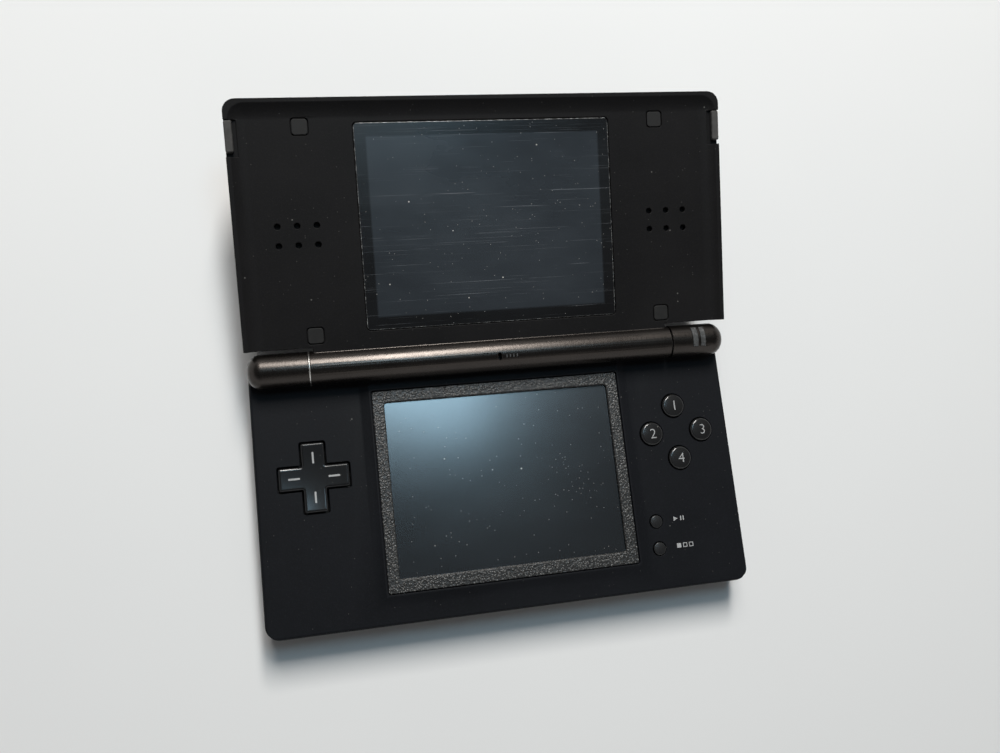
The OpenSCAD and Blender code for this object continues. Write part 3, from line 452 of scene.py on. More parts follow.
@dataclass(frozen=True)
class MouldedPlastic(Finish):
    """Moulded plastic with a fine eroded grain, uneven gloss from handling and a little dust.

    A case that carries a part of the hinge barrel has a satin metallic finish there: inside the barrel's
    radius around the hinge axis the tone, the metallic share and the roughness change.
    """

    roughness: float = 0.45
    grain: float = 0.012
    grain_scale: float = 5200.0
    patches: float = 0.08
    dusty: float = 0.012
    specular: float = 0.12
    gloss: float = 0.0
    gloss_roughness: float = 0.24
    barrel_gloss: float = 0.0
    barrel_roughness: float = 0.285
    barrel_tone: Triple = (0.054, 0.048, 0.044)

    def paint(self, g: Graph) -> None:
        """Paints the grain, the dust, the worn gloss and the barrel's satin.

        Args:
            g: material that they go into.
        """
        broad = g.noise(38.0, 3.0, 0.6)
        fine = g.noise(self.grain_scale, 2.0, 0.6)
        pores = g.noise(self.grain_scale * 0.33, 2.0, 0.5)
        base = g.mix(g.span(broad, 0.3, 0.7), toned(self.colour, 0.78), toned(self.colour, 1.25))
        base = g.mix(g.span(fine, 0.52, 0.72, 0.0, 0.6), base, toned(self.colour, 1.9, 0.002))
        small = g.times(dust(g, self.dusty * 3, 0.20, 1500.0, (0.4, 0.1, 0.2)), 0.16)
        large = g.times(dust(g, self.dusty, 0.15, 620.0), 0.30)
        base = g.mix(g.math("MAXIMUM", small, large), base, LINT)
        worn = g.span(broad, 0.3, 0.72, self.roughness - self.patches / 2, self.roughness + self.patches / 2)
        rough = g.math("ADD", worn, g.span(fine, 0.3, 0.7, -0.03, 0.03))
        depth = 1.0
        if self.barrel_gloss:
            polish = self.polish(g)
            rubbed = g.noise(300.0, 3.0, 0.6, (0.25, 1.0, 1.0))
            satin = g.mix(g.span(rubbed, 0.3, 0.7), toned(self.barrel_tone, 0.85), self.barrel_tone)
            base = g.mix(polish, base, satin)
            g.set("Metallic", g.times(polish, self.barrel_gloss))
            rough = g.math("SUBTRACT", rough, g.times(polish, self.roughness - self.barrel_roughness))
            depth = g.span(polish, 0.0, 1.0, 1.0, 0.35)
        g.set("Base Color", base)
        g.set("Roughness", rough)
        g.set("Specular IOR Level", self.specular)
        g.set("Coat Weight", self.gloss)
        g.set("Coat Roughness", self.gloss_roughness)
        low = g.bump(pores, self.grain * MM, 0.8)
        g.set("Normal", g.bump(fine, self.grain * MM * 0.6, depth, low))

    def polish(self, g: Graph) -> bpy.types.NodeSocket:
        """Share of the barrel's polish, by the distance to the hinge axis: root of (y squared + h squared).

        Args:
            g: material that it goes into.

        Returns:
            1 nearer to the axis than the barrel's radius, 0 beyond it.
        """
        parts = g.add("ShaderNodeSeparateXYZ", {"Vector": g.place}).outputs
        height = g.math("SUBTRACT", parts[2], AXIS_Z * MM)
        away = g.math("SQRT", g.math("ADD", g.times(parts[1], parts[1]), g.times(height, height)))
        return g.span(away, (BARREL_R + 0.16) * MM, (BARREL_R + 0.04) * MM)


@dataclass(frozen=True)
class SpeckledPlastic(Finish):
    """Coarsely textured plastic with pale and dark specks, as on the ring around the touch screen; the pale
    specks on the grain's tops are partly a painted highlight, the dark patches in its hollows partly painted
    shade.
    """

    roughness: float = 0.42

    def paint(self, g: Graph) -> None:
        """Paints pale specks, partly a painted highlight on the grain's tops, in the cells of a Voronoi
        pattern over dark and middling patches, which are partly painted shade in the grain's hollows.

        Args:
            g: material that they go into.
        """
        grit_and_glint = g.add("ShaderNodeTexVoronoi", {"Vector": g.place, "Scale": 1800.0})
        shade = g.add("ShaderNodeSeparateColor", {"Color": grit_and_glint.outputs["Color"]}).outputs[0]
        # Pale specks sit on the bump's tops: speckle, and a painted highlight on the grain's tops.
        grain = g.span(grit_and_glint.outputs["Distance"], 0.62, 0.12)
        soft = g.noise(1500.0, 2.0, 0.7)
        # Near-black where the soft bump is low: speckle, and painted shade in the grain's hollows.
        base = g.mix(g.span(soft, 0.43, 0.53), toned(self.colour, 0.12), self.colour)
        g.set("Base Color", g.mix(g.times(g.span(shade, 0.50, 0.75), grain), base, toned(self.colour, 4.5)))
        g.set("Roughness", g.span(soft, 0.3, 0.7, self.roughness + 0.12, self.roughness - 0.12))
        g.set("Specular IOR Level", 0.5)
        g.set("Normal", g.bump(grain, 0.09 * MM, 1.0, g.bump(soft, 0.10 * MM)))


@dataclass(frozen=True)
class Rubber(Finish):
    """Matte silicone rubber with a powdery bloom."""

    def paint(self, g: Graph) -> None:
        """Paints the bloom and the lint that rubber gathers.

        Args:
            g: material that they go into.
        """
        bloom = g.noise(420.0, 4.0, 0.6)
        fine = g.noise(7000.0, 2.0)
        base = g.mix(g.span(bloom, 0.35, 0.75), self.colour, toned(self.colour, 1.9))
        g.set("Base Color", g.mix(g.times(dust(g, 0.03, 0.2, 1300.0), 0.3), base, RUBBER_LINT))
        g.set("Roughness", g.span(bloom, 0.3, 0.7, 0.62, 0.8))
        g.set("Specular IOR Level", 0.3)
        g.set("Normal", g.bump(fine, 0.012 * MM, 0.8))


@dataclass(frozen=True)
class ScreenSheet(Finish):
    """Dark display behind a clear sheet, with fine scratches along X, smears and dust.

    A sheet with a printed border is near black outside its picture and pale along its own edge, from scuffs
    and from a painted highlight on that edge.
    Both masks come from the distance to the middle of the sheet, across it and along its slope. Fine dust
    gathers around a spot, given by its place and its radius in millimetres.
    """

    roughness: float = 0.12
    scratches: float = 0.5
    dusty: float = 0.01
    specular: float = 0.5
    index: float = 1.5
    smears: float = 0.35
    picture: Triple | None = None
    sheet: Triple | None = None
    border: Triple = (0.0045, 0.0045, 0.005)
    dust_spot: tuple[float, float, float, float] | None = None

    def inside(self, g: Graph, area: Triple, soft: float) -> bpy.types.NodeSocket:
        """Mask of a rectangle on the sloping sheet.

        Args:
            g: material that it goes into.
            area: half its width, its middle along the slope, and half its height, in millimetres.
            soft: width of the soft edge.

        Returns:
            1 inside, 0 outside.
        """
        place = g.add("ShaderNodeMapping", {"Vector": g.place, "Location": (0, 0, -AXIS_Z * MM)}).outputs[0]
        place = g.add("ShaderNodeMapping", {"Vector": place, "Rotation": (-LID_TILT, 0, 0)}).outputs[0]
        parts = g.add("ShaderNodeSeparateXYZ", {"Vector": place}).outputs
        across = g.math("ABSOLUTE", parts[0])
        along = g.math("ABSOLUTE", g.math("SUBTRACT", parts[1], area[1] * MM))
        return g.times(g.span(across, (area[0] + soft / 2) * MM, (area[0] - soft / 2) * MM),
                       g.span(along, (area[2] + soft / 2) * MM, (area[2] - soft / 2) * MM))

    def scratched(self, g: Graph) -> bpy.types.NodeSocket:
        """Paints scratches: broken lines, hairlines and a few slanting ones, each from a stretched noise.

        Args:
            g: material that they go into.

        Returns:
            Factor that is above 0 in a scratch.
        """
        streak = g.noise(60.0, 2.0, 0.5, (0.16, 60.0, 60.0))
        broken = g.noise(70.0, 2.0, 0.5, (1.0, 6.0, 6.0), (3.0, 1.0, 0.0))
        lines = g.times(g.span(streak, 0.675, 0.72), g.span(broken, 0.46, 0.62))
        hair = g.noise(60.0, 1.0, 0.5, (0.5, 130.0, 130.0), (7.0, 2.0, 0.0))
        hair = g.times(g.span(hair, 0.68, 0.74), g.span(broken, 0.52, 0.4))
        slant = g.noise(60.0, 1.0, 0.5, (0.4, 90.0, 90.0), (2.0, 5.0, 0.0))
        slant.node.inputs["Vector"].links[0].from_node.inputs["Rotation"].default_value = (0, 0, 0.5)
        slant = g.times(g.span(slant, 0.73, 0.77), g.span(broken, 0.5, 0.6))
        marks = g.math("MAXIMUM", lines, g.times(g.math("MAXIMUM", hair, slant), 0.55))
        return g.times(marks, self.scratches)

    def dusted(self, g: Graph) -> bpy.types.NodeSocket:
        """Paints large specks all over and small ones that gather around the dust spot.

        Args:
            g: material that they go into.

        Returns:
            Factor that is above 0 on a speck.
        """
        fine = self.dusty * 4
        if self.dust_spot:
            place, r = tuple(v * MM for v in self.dust_spot[:3]), self.dust_spot[3] * MM
            away = g.add("ShaderNodeVectorMath", {0: g.place, 1: place}, operation="DISTANCE")
            uneven = g.math("MULTIPLY_ADD", g.noise(90.0, 2.0), 0.8 * r, away.outputs["Value"])
            fine = g.span(uneven, 1.1 * r, 0.5 * r, fine, 0.5)
        small = g.times(dust(g, fine, 0.18, 1500.0, (0.3, 0.5, 0.1)), 0.6)
        return g.math("MAXIMUM", dust(g, self.dusty, 0.15, 620.0, (0.01, 0.02, 0.0)), small)

    def paint(self, g: Graph) -> None:
        """Paints the smeared sheet, its printed border, the scratches, the pale rim of scuffs and painted
        edge highlight, and the dust.

        Args:
            g: material that they go into.
        """
        smear = g.noise(22.0, 4.0, 0.6, (1.0, 2.0, 1.0))
        marks, specks = self.scratched(g), self.dusted(g)
        base = g.mix(g.span(smear, 0.3, 0.75), self.colour, toned(self.colour, 1 + self.smears))
        if self.picture:
            base = g.mix(self.inside(g, self.picture, 0.5), self.border, base)
        base = g.mix(g.times(marks, 0.5), base, SCRATCH)
        if self.sheet:
            # Pale rim along the sheet's edge: scuffs, and a painted highlight on that edge.
            scuff_and_highlight = g.span(g.noise(700.0, 4.0, 0.75), 0.46, 0.62, 0.08, 0.9)
            rim = g.math("SUBTRACT", 1.0, self.inside(g, self.sheet, 0.12))
            base = g.mix(g.times(rim, scuff_and_highlight), base, SCUFF_AND_HIGHLIGHT)
        g.set("Base Color", g.mix(g.times(specks, 0.8), base, PALE_LINT))
        dull = g.span(smear, 0.35, 0.7, self.roughness * (1 - self.smears * 0.6),
                      self.roughness * (1 + self.smears * 0.8))
        g.set("Roughness", g.math("ADD", dull, g.times(g.math("MAXIMUM", marks, specks), 0.45)))
        g.set("IOR", self.index)
        g.set("Specular IOR Level", self.specular)
        g.set("Normal", g.bump(marks, 0.004 * MM, 0.5))


@dataclass(frozen=True)
class SheetMetal(Finish):
    """Plain or plated sheet metal with a fine drawn grain."""

    roughness: float = 0.32

    def paint(self, g: Graph) -> None:
        """Paints stains and the drawn grain.

        Args:
            g: material that they go into.
        """
        drawn = g.noise(900.0, 3.0, 0.6, (0.1, 1.0, 1.0))
        stain = g.noise(120.0, 4.0, 0.6)
        g.set("Base Color", g.mix(g.span(stain, 0.3, 0.75), toned(self.colour, 0.8), self.colour))
        g.set("Metallic", 1.0)
        g.set("Roughness", g.span(drawn, 0.3, 0.7, self.roughness - 0.06, self.roughness + 0.1))
        g.set("Normal", g.bump(drawn, 0.006 * MM, 0.5))


@dataclass(frozen=True)
class SolderMask(Finish):
    """Circuit board: green mask over glass cloth, with rows of pale tracks."""

    def paint(self, g: Graph) -> None:
        """Paints the tracks and the cloth.

        Args:
            g: material that they go into.
        """
        tracks = g.add("ShaderNodeTexBrick", {"Vector": g.place, "Scale": 220.0, "Mortar Size": 0.06,
                                              "Color1": (*self.colour, 1), "Color2": (*self.colour, 1),
                                              "Mortar": (*toned(self.colour, 1.9), 1)})
        cloth = g.noise(1500.0, 2.0)
        g.set("Base Color", g.mix(g.span(cloth, 0.3, 0.8), tracks.outputs["Color"], toned(self.colour, 0.7)))
        g.set("Roughness", g.span(cloth, 0.3, 0.7, 0.25, 0.4))
        g.set("Normal", g.bump(tracks.outputs["Fac"], 0.02 * MM, 0.6))


@dataclass(frozen=True)
class LightPipe(Finish):
    """Frosted clear plastic of the status lights, unlit and silvery."""

    def paint(self, g: Graph) -> None:
        """Paints the frosting over a little light that passes under the surface.

        Args:
            g: material that they go into.
        """
        cloud = g.noise(900.0, 3.0)
        g.set("Base Color", g.mix(g.span(cloud, 0.3, 0.75), toned(self.colour, 0.6), self.colour))
        g.set("Roughness", g.span(cloud, 0.3, 0.7, 0.18, 0.32))
        g.set("Subsurface Weight", 0.2)
        g.set("Subsurface Radius", (2 * MM, 2 * MM, 2 * MM))
        g.set("Normal", g.bump(cloud, 0.02 * MM, 0.4))


@dataclass(frozen=True)
class PrintedMark(Finish):
    """Pale ink or a moulded-in pale plastic mark."""

    def paint(self, g: Graph) -> None:
        """Paints the worn ink.

        Args:
            g: material that it goes into.
        """
        worn = g.noise(1300.0, 4.0, 0.7)
        g.set("Base Color", g.mix(g.span(worn, 0.3, 0.7), toned(self.colour, 0.7), self.colour))
        g.set("Roughness", g.span(worn, 0.3, 0.7, 0.45, 0.6))
        g.set("Normal", g.bump(worn, 0.01 * MM, 0.5))


def finishes() -> dict[str, bpy.types.Material]:
    """Makes every finish of the console.

    Returns:
        Material of each slot of the record, and of the marks.
    """
    kinds = (
        MouldedPlastic("base_lower_shell", (0.0075, 0.0075, 0.0082), 0.55, specular=0.3),
        MouldedPlastic("base_upper_shell", (0.0039, 0.0044, 0.0058), 0.58, 0.022, 3400.0,
                                           barrel_gloss=0.95),
        MouldedPlastic("lid_inner_shell", (0.0060, 0.0056, 0.0058), 0.60, 0.018, 3400.0,
                                          barrel_gloss=0.95),
        MouldedPlastic("lid_outer_shell", (0.0075, 0.0075, 0.0082), 0.42, 0.004, specular=0.3,
                                          gloss=0.6),
        MouldedPlastic("control_plastic", (0.0030, 0.0032, 0.0037), 0.50, 0.003, specular=0.12,
                                          dusty=0.02, gloss=0.7, gloss_roughness=0.16),
        MouldedPlastic("button_plastic", (0.0056, 0.0056, 0.0058), 0.55, 0.003, specular=0.12,
                                         dusty=0.02, gloss=0.9, gloss_roughness=0.14),
        MouldedPlastic("menu_plastic", (0.0070, 0.0070, 0.0074), 0.52, 0.003, specular=0.2,
                                       gloss=0.7, gloss_roughness=0.22),
        MouldedPlastic("stylus_plastic", (0.010, 0.010, 0.011), 0.3, 0.004, specular=0.4),
        MouldedPlastic("dust_cover_plastic", (0.011, 0.011, 0.012), 0.5, specular=0.3),
        MouldedPlastic("connector_plastic", (0.018, 0.018, 0.019), 0.5, 0.008, specular=0.3),
        MouldedPlastic("speaker_black", (0.0022, 0.0022, 0.0024), 0.7, 0.01, dusty=0.0),
        MouldedPlastic("clutch_plastic", (0.42, 0.42, 0.41), 0.4, 0.004, specular=0.5),
        MouldedPlastic("battery_wrap", (0.06, 0.06, 0.062), 0.35, 0.004, specular=0.5),
        MouldedPlastic("ribbon_film", (0.36, 0.17, 0.03), 0.25, 0.002, specular=0.5),
        SpeckledPlastic("speckled_ring", (0.0195, 0.0190, 0.0180)),
        ScreenSheet("touch_glass", (0.0024, 0.0038, 0.0054), 0.212, 0.05, 0.012, 1.0, 1.7, 0.12,
                                   dust_spot=(19.0, -36.0, 13.3, 15.0)),
        ScreenSheet("upper_lens_plastic", (0.0180, 0.0215, 0.0258), 0.27, 0.95, 0.020, 0.5,
                                          picture=(31.4, 35.95, 23.45), sheet=(34.33, 36.05, 26.73)),
        ScreenSheet("display_glass", (0.02, 0.024, 0.03), 0.1, 0.0, 0.002),
        SolderMask("circuit_board", (0.01, 0.07, 0.03)),
        Rubber("grey_rubber", (0.040, 0.038, 0.036)),
        Rubber("pad_rubber", (0.0072, 0.0070, 0.0068)),
        Rubber("black_rubber", (0.012, 0.012, 0.012)),
        SheetMetal("plated_shield", (0.62, 0.62, 0.6)),
        SheetMetal("bracket_steel", (0.5, 0.5, 0.51), 0.38),
        SheetMetal("bracket_aluminium", (0.7, 0.7, 0.71), 0.4),
        SheetMetal("screw_steel", (0.32, 0.32, 0.33), 0.35),
        # Bright metal of the ring beside the barrel, which stands in for the highlight on the barrel end's
        # bevel.
        SheetMetal("highlight_collar_metal", (0.80, 0.78, 0.74), 0.3),
        SheetMetal("spring_steel", (0.6, 0.6, 0.61), 0.25),
        SheetMetal("magnet_steel", (0.6, 0.58, 0.55), 0.2),
        SheetMetal("microphone_can", (0.03, 0.03, 0.031), 0.5),
        LightPipe("light_pipe", (0.085, 0.086, 0.086)),
        PrintedMark("mark", (0.40, 0.40, 0.40)),
        PrintedMark("faint_mark", (0.06, 0.06, 0.06)),
    )
    return {kind.name: kind.make() for kind in kinds}


FINISH = finishes()
SLOT_OF = {part["node"]: part["material_slot"] for part in frame["record"]["subparts"]}


# ---------------------------------------------------------------- pieces


def body_of(node: str) -> str:
    """Name of the body that a CAD node rides on."""
    bodies = frame["record"]["behaviour"]["bodies"]
    return next(body for body, nodes in bodies.items() if node in nodes)


def add_object(name: str, data: bpy.types.ID) -> bpy.types.Object:
    """Adds an object to the scene.

    Args:
        name: name of the object.
        data: its mesh, lamp or camera.

    Returns:
        The object.
    """
    added = bpy.data.objects.new(name, data)
    bpy.context.scene.collection.objects.link(added)
    return added


def make_piece(name: str, surface: Surface, body: str, finish: str,
               smooth: float = 35.0) -> bpy.types.Object:
    """Makes an object of a surface, at the origin, and lets it ride on a body.

    Args:
        name: name of the piece.
        surface: its points and faces, in millimetres.
        body: body that it rides on.
        finish: its material.
        smooth: angle in degrees up to which edges are shaded smooth.

    Returns:
        The object.
    """
    mesh = bpy.data.meshes.new(name)
    mesh.from_pydata((np.concatenate(surface.points) * MM).tolist(), [], surface.faces)
    merge(mesh)
    piece = add_object(name, mesh)
    dress(piece, body, finish, smooth)
    weigh_normals(piece)
    return piece


def merge(mesh: bpy.types.Mesh, flatten: float = 0.0, cuts: tuple[float, ...] = ()) -> None:
    """Merges the doubled points of a mesh and joins its flat faces into whole panels.

    A panel with holes is first cut along planes across X through the holes, so that each panel is a plain
    outline.

    Args:
        mesh: mesh to clean.
        flatten: angle in degrees up to which neighbouring faces become one, or 0.
        cuts: places of the planes along X, in millimetres.
    """
    work = bmesh.new()
    work.from_mesh(mesh)
    bmesh.ops.remove_doubles(work, verts=work.verts, dist=2e-6)
    bmesh.ops.dissolve_degenerate(work, dist=1e-6, edges=work.edges)
    for cut in cuts:
        found = bmesh.ops.bisect_plane(work, geom=work.verts[:] + work.edges[:] + work.faces[:], dist=1e-6,
                                       plane_co=(cut * MM, 0, 0), plane_no=(1, 0, 0))
        for item in found["geom_cut"]:
            if isinstance(item, bmesh.types.BMEdge):
                item.seam = True
    if flatten:
        bmesh.ops.dissolve_limit(work, angle_limit=math.radians(flatten), verts=work.verts, edges=work.edges,
                                 use_dissolve_boundaries=False, delimit={"SEAM"})
    work.to_mesh(mesh)
    work.free()
    mesh.update()


def dress(piece: bpy.types.Object, body: str, finish: str, smooth: float) -> None:
    """Gives a piece its material, its smooth shading and its body.

    Args:
        piece: object to dress.
        body: body that it rides on.
        finish: its material.
        smooth: angle in degrees up to which edges are shaded smooth.
    """
    piece.data.materials.clear()
    piece.data.materials.append(FINISH[finish])
    piece.data.polygons.foreach_set("use_smooth", np.ones(len(piece.data.polygons), bool))
    piece.data.set_sharp_from_angle(angle=math.radians(smooth))
    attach(piece, body)
    log.info("%s: %d faces on %s", piece.name, len(piece.data.polygons), body)


def in_lid(points: np.ndarray) -> np.ndarray:
    """Carries points from the lid's own frame (across, along, above) into the open lid.

    The frame turns about the hinge axis by the lid's tilt t: y = d cos t - h sin t, and
    z = axis + d sin t + h cos t.

    Args:
        points: rows of x, distance from the hinge axis and height over it.

    Returns:
        Rows of x, y and z.
    """
    c, s = math.cos(LID_TILT), math.sin(LID_TILT)
    d, h = points[:, 1], points[:, 2]
    return np.column_stack([points[:, 0], d * c - h * s, AXIS_Z + d * s + h * c])


def cushion(x: Pair, y: Pair, z: Pair, r: float, edge: float, steps: int = 5) -> list[np.ndarray]:
    """Rings of a block with round corners in the plan and a quarter-round upper edge.

    At angle t of the quarter circle the outline is drawn in by edge times (1 - cos t) and lies edge times
    (1 - sin t) below the top.

    Args:
        x: left and right side.
        y: near and far side.
        z: underside and top.
        r: radius of the corners in the plan.
        edge: radius of the upper edge.
        steps: steps of the quarter circle.

    Returns:
        Rings from the underside to the top.
    """
    rings = [lift(rounded_loop(x, y, r), z[0])]
    for t in np.linspace(0, np.pi / 2, steps + 1):
        inset = edge * (1 - np.cos(t))
        loop = rounded_loop((x[0] + inset, x[1] - inset), (y[0] + inset, y[1] - inset), max(r - inset, 0.02))
        rings.append(lift(loop, z[1] - edge * (1 - np.sin(t))))
    return rings


def cross_loop(reach: float, arm: float, inset: float, outer: float, inner: float,
               steps: int = 6) -> np.ndarray:
    """Outline of a cross with rounded corners, drawn in by an even distance, anticlockwise.

    Each quarter holds the two outer corners of one arm, arcs of radius outer - inset, the arm's straight
    side, and the inner corner, an arc of radius inner + inset about a fixed centre; quarter k is turned by k
    right angles.

    Args:
        reach: length of an arm from the middle.
        arm: half the width of an arm.
        inset: how far the outline is drawn in.
        outer: radius of the outer corners.
        inner: radius of the inner corners.
        steps: steps of each arc and each straight side.

    Returns:
        Points of the outline.
    """
    end, half = reach - inset, arm - inset
    r = min(max(outer - inset, 0.0), half)
    centre = arm + inner
    side = np.linspace(end - r, centre, steps + 2)[1:-1]
    front = np.linspace(r - half, half - r, 7)[1:-1]
    quarter = np.concatenate([
        arc((end - r, r - half), r, -90, 0, steps),
        np.column_stack([np.full(5, end), front]),
        arc((end - r, half - r), r, 0, 90, steps),
        np.column_stack([side, np.full(len(side), half)]),
        arc((centre, centre), inner + inset, 270, 180, steps),
        np.column_stack([np.full(len(side), half), side[::-1]]),
    ])
    turns = [np.array([[c, s], [-s, c]]) for c, s in ((1, 0), (0, 1), (-1, 0), (0, -1))]
    return np.concatenate([quarter @ turn for turn in turns])


def read(items: bpy.types.bpy_prop_collection, name: str, width: int = 1, kind: type = float) -> np.ndarray:
    """Reads one property of all points, edges, corners or faces of a mesh.

    Args:
        items: what is read.
        name: the property.
        width: numbers that each item holds.
        kind: type of the numbers.

    Returns:
        One row for each item, or one number where the width is 1.
    """
    values = np.empty(len(items) * width, kind)
    items.foreach_get(name, values)
    return values.reshape(-1, width) if width > 1 else values


def drawn_text(text: str, height: float) -> tuple[np.ndarray, list[list[int]]]:
    """Outline of a numeral as a thin plate, centred, in millimetres; its strokes are drawn in a little.

    Args:
        text: what to draw.
        height: height of the numeral.

    Returns:
        Points, with heights 0 and 1 below and above, and faces.
    """
    curve = bpy.data.curves.new("numeral", "FONT")
    curve.body = text
    curve.extrude = 0.5
    curve.offset = -0.012
    curve.resolution_u = 6
    holder = bpy.data.objects.new("numeral", curve)
    mesh = bpy.data.meshes.new_from_object(holder)
    points = read(mesh.vertices, "co", 3)
    faces = [list(face.vertices) for face in mesh.polygons]
    low, high = points.min(0), points.max(0)
    points[:, :2] = (points[:, :2] - (low + high)[:2] / 2) * height / (high - low)[1]
    points[:, 2] = (points[:, 2] > 0).astype(float)
    bpy.data.objects.remove(holder)
    bpy.data.meshes.remove(mesh)
    bpy.data.curves.remove(curve)
    return points, faces


def sharp_edges(mesh: bpy.types.Mesh, angle: float) -> np.ndarray:
    """Finds the edges at which two faces meet at more than an angle.

    Args:
        mesh: mesh to search.
        angle: the angle between the faces' normals, in degrees.

    Returns:
        Indices of the edges.
    """
    edge_of = read(mesh.loops, "edge_index", kind=np.int64)
    sides = read(mesh.polygons, "loop_total", kind=np.int64)
    normals = read(mesh.polygons, "normal", 3)
    face_of = np.repeat(np.arange(len(sides)), sides)
    order = np.argsort(edge_of, kind="stable")
    edge_of, face_of = edge_of[order], face_of[order]
    pair = np.flatnonzero(edge_of[:-1] == edge_of[1:])
    cosine = (normals[face_of[pair]] * normals[face_of[pair + 1]]).sum(1)
    return edge_of[pair][cosine < math.cos(math.radians(angle))]


def soften(piece: bpy.types.Object, width: float, segments: int = 2, angle: float = 38.0,
           within: Triple | None = None) -> None:
    """Rounds a piece's sharp edges and keeps its flat faces flat in the shading.

    Args:
        piece: object to soften.
        width: width of the rounding in millimetres.
        segments: faces across it.
        angle: edges sharper than this are rounded, in degrees.
        within: only edges whose middle lies nearer to x = 0 than the first number, and between the other
            two along Y.
    """
    mesh = piece.data
    chosen = sharp_edges(mesh, angle)
    middle = read(mesh.vertices, "co", 3)[read(mesh.edges, "vertices", 2, np.int64)].mean(1) / MM
    weight = np.zeros(len(mesh.edges), np.float32)
    weight[chosen] = 1.0
    if within:
        across, along = np.abs(middle[:, 0]), middle[:, 1]
        weight[(across > within[0]) | (along < within[1]) | (along > within[2])] = 0.0
    mesh.attributes.new("bevel_weight_edge", "FLOAT", "EDGE").data.foreach_set("value", weight)
    bevel = piece.modifiers.new("rounding", "BEVEL")
    bevel.width = width * MM
    bevel.segments = segments
    bevel.limit_method = "WEIGHT"
    bevel.use_clamp_overlap = False
    bevel.harden_normals = False
    bevel.miter_outer = "MITER_ARC"
    weigh_normals(piece)


def weigh_normals(piece: bpy.types.Object) -> None:
    """Shades a piece by its larger faces, so that flat panels look flat beside their rounded edges.

    Args:
        piece: object to shade.
    """
    weigh = piece.modifiers.new("shading", "WEIGHTED_NORMAL")
    weigh.keep_sharp = True
    weigh.weight = 100


def softened_copy(node: str, width: float, segments: int = 2, cuts: tuple[float, ...] = (),
                  within: Triple | None = None) -> bpy.types.Object:
    """Replaces a CAD node by a merged copy of its mesh with rounded edges.

    Args:
        node: name of the node.
        width: width of the rounding in millimetres.
        segments: faces across it.
        cuts: places along X, in millimetres, where its panels are cut through their holes.
        within: region whose edges are rounded, all of them if left out.

    Returns:
        The copy.
    """
    mesh = frame["nodes"][node].data.copy()
    mesh.name = node + "_soft"
    merge(mesh, PANEL, cuts)
    piece = add_object(node + "_soft", mesh)
    dress(piece, body_of(node), SLOT_OF[node], CASE_CREASE)
    soften(piece, width, segments, within=within)
    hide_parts(node)
    return piece


def replace(node: str, surface: Surface, finish: str | None = None) -> None:
    """Makes a piece of a surface and lets it take the place of a CAD node.

    Args:
        node: name of the node.
        surface: points and faces of the piece.
        finish: its material, the one of the node's slot if left out.
    """
    slot = SLOT_OF[node]
    piece = make_piece(node + "_shaped", surface, body_of(node), finish or slot, SHAPED_CREASE)
    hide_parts(node)


@dataclass
class Shells:
    """Cases of both halves, with softened edges. The cuts lie along X where their panels have holes."""

    edge: float = 0.14
    flat: Triple = (65.3, -68.0, 6.0)
    bottom_cuts: tuple[float, ...] = (-61.6, -60.8, -57.0, -52.0, -44.0, -33.0, -17.5, 0.0, 22.5, 44.3,
                                      52.0, 57.0, 61.3)
    top_cuts: tuple[float, ...] = (-61.3, -51.3, -44.6, 0.0, 41.25, 50.8, 58.3, 61.3)
    inner_cuts: tuple[float, ...] = (-55.5, -50.5, -48.0, -45.5, 0.3, 45.5, 48.0, 50.5, 55.5)
    outer_cuts: tuple[float, ...] = (-48.0, -35.0, 0.0, 48.0)

    def build(self) -> None:
        """Builds the cases."""
        softened_copy("base_bottom_case", self.edge, cuts=self.bottom_cuts)
        softened_copy("base_top_case", self.edge, cuts=self.top_cuts, within=self.flat)
        softened_copy("lid_inner_case", self.edge, cuts=self.inner_cuts)
        softened_copy("lid_outer_case", self.edge, cuts=self.outer_cuts)


class Mark(Enum):
    """Marks printed beside the two menu buttons."""

    RUN = "triangle and two bars"
    PICK = "row of three boxes"


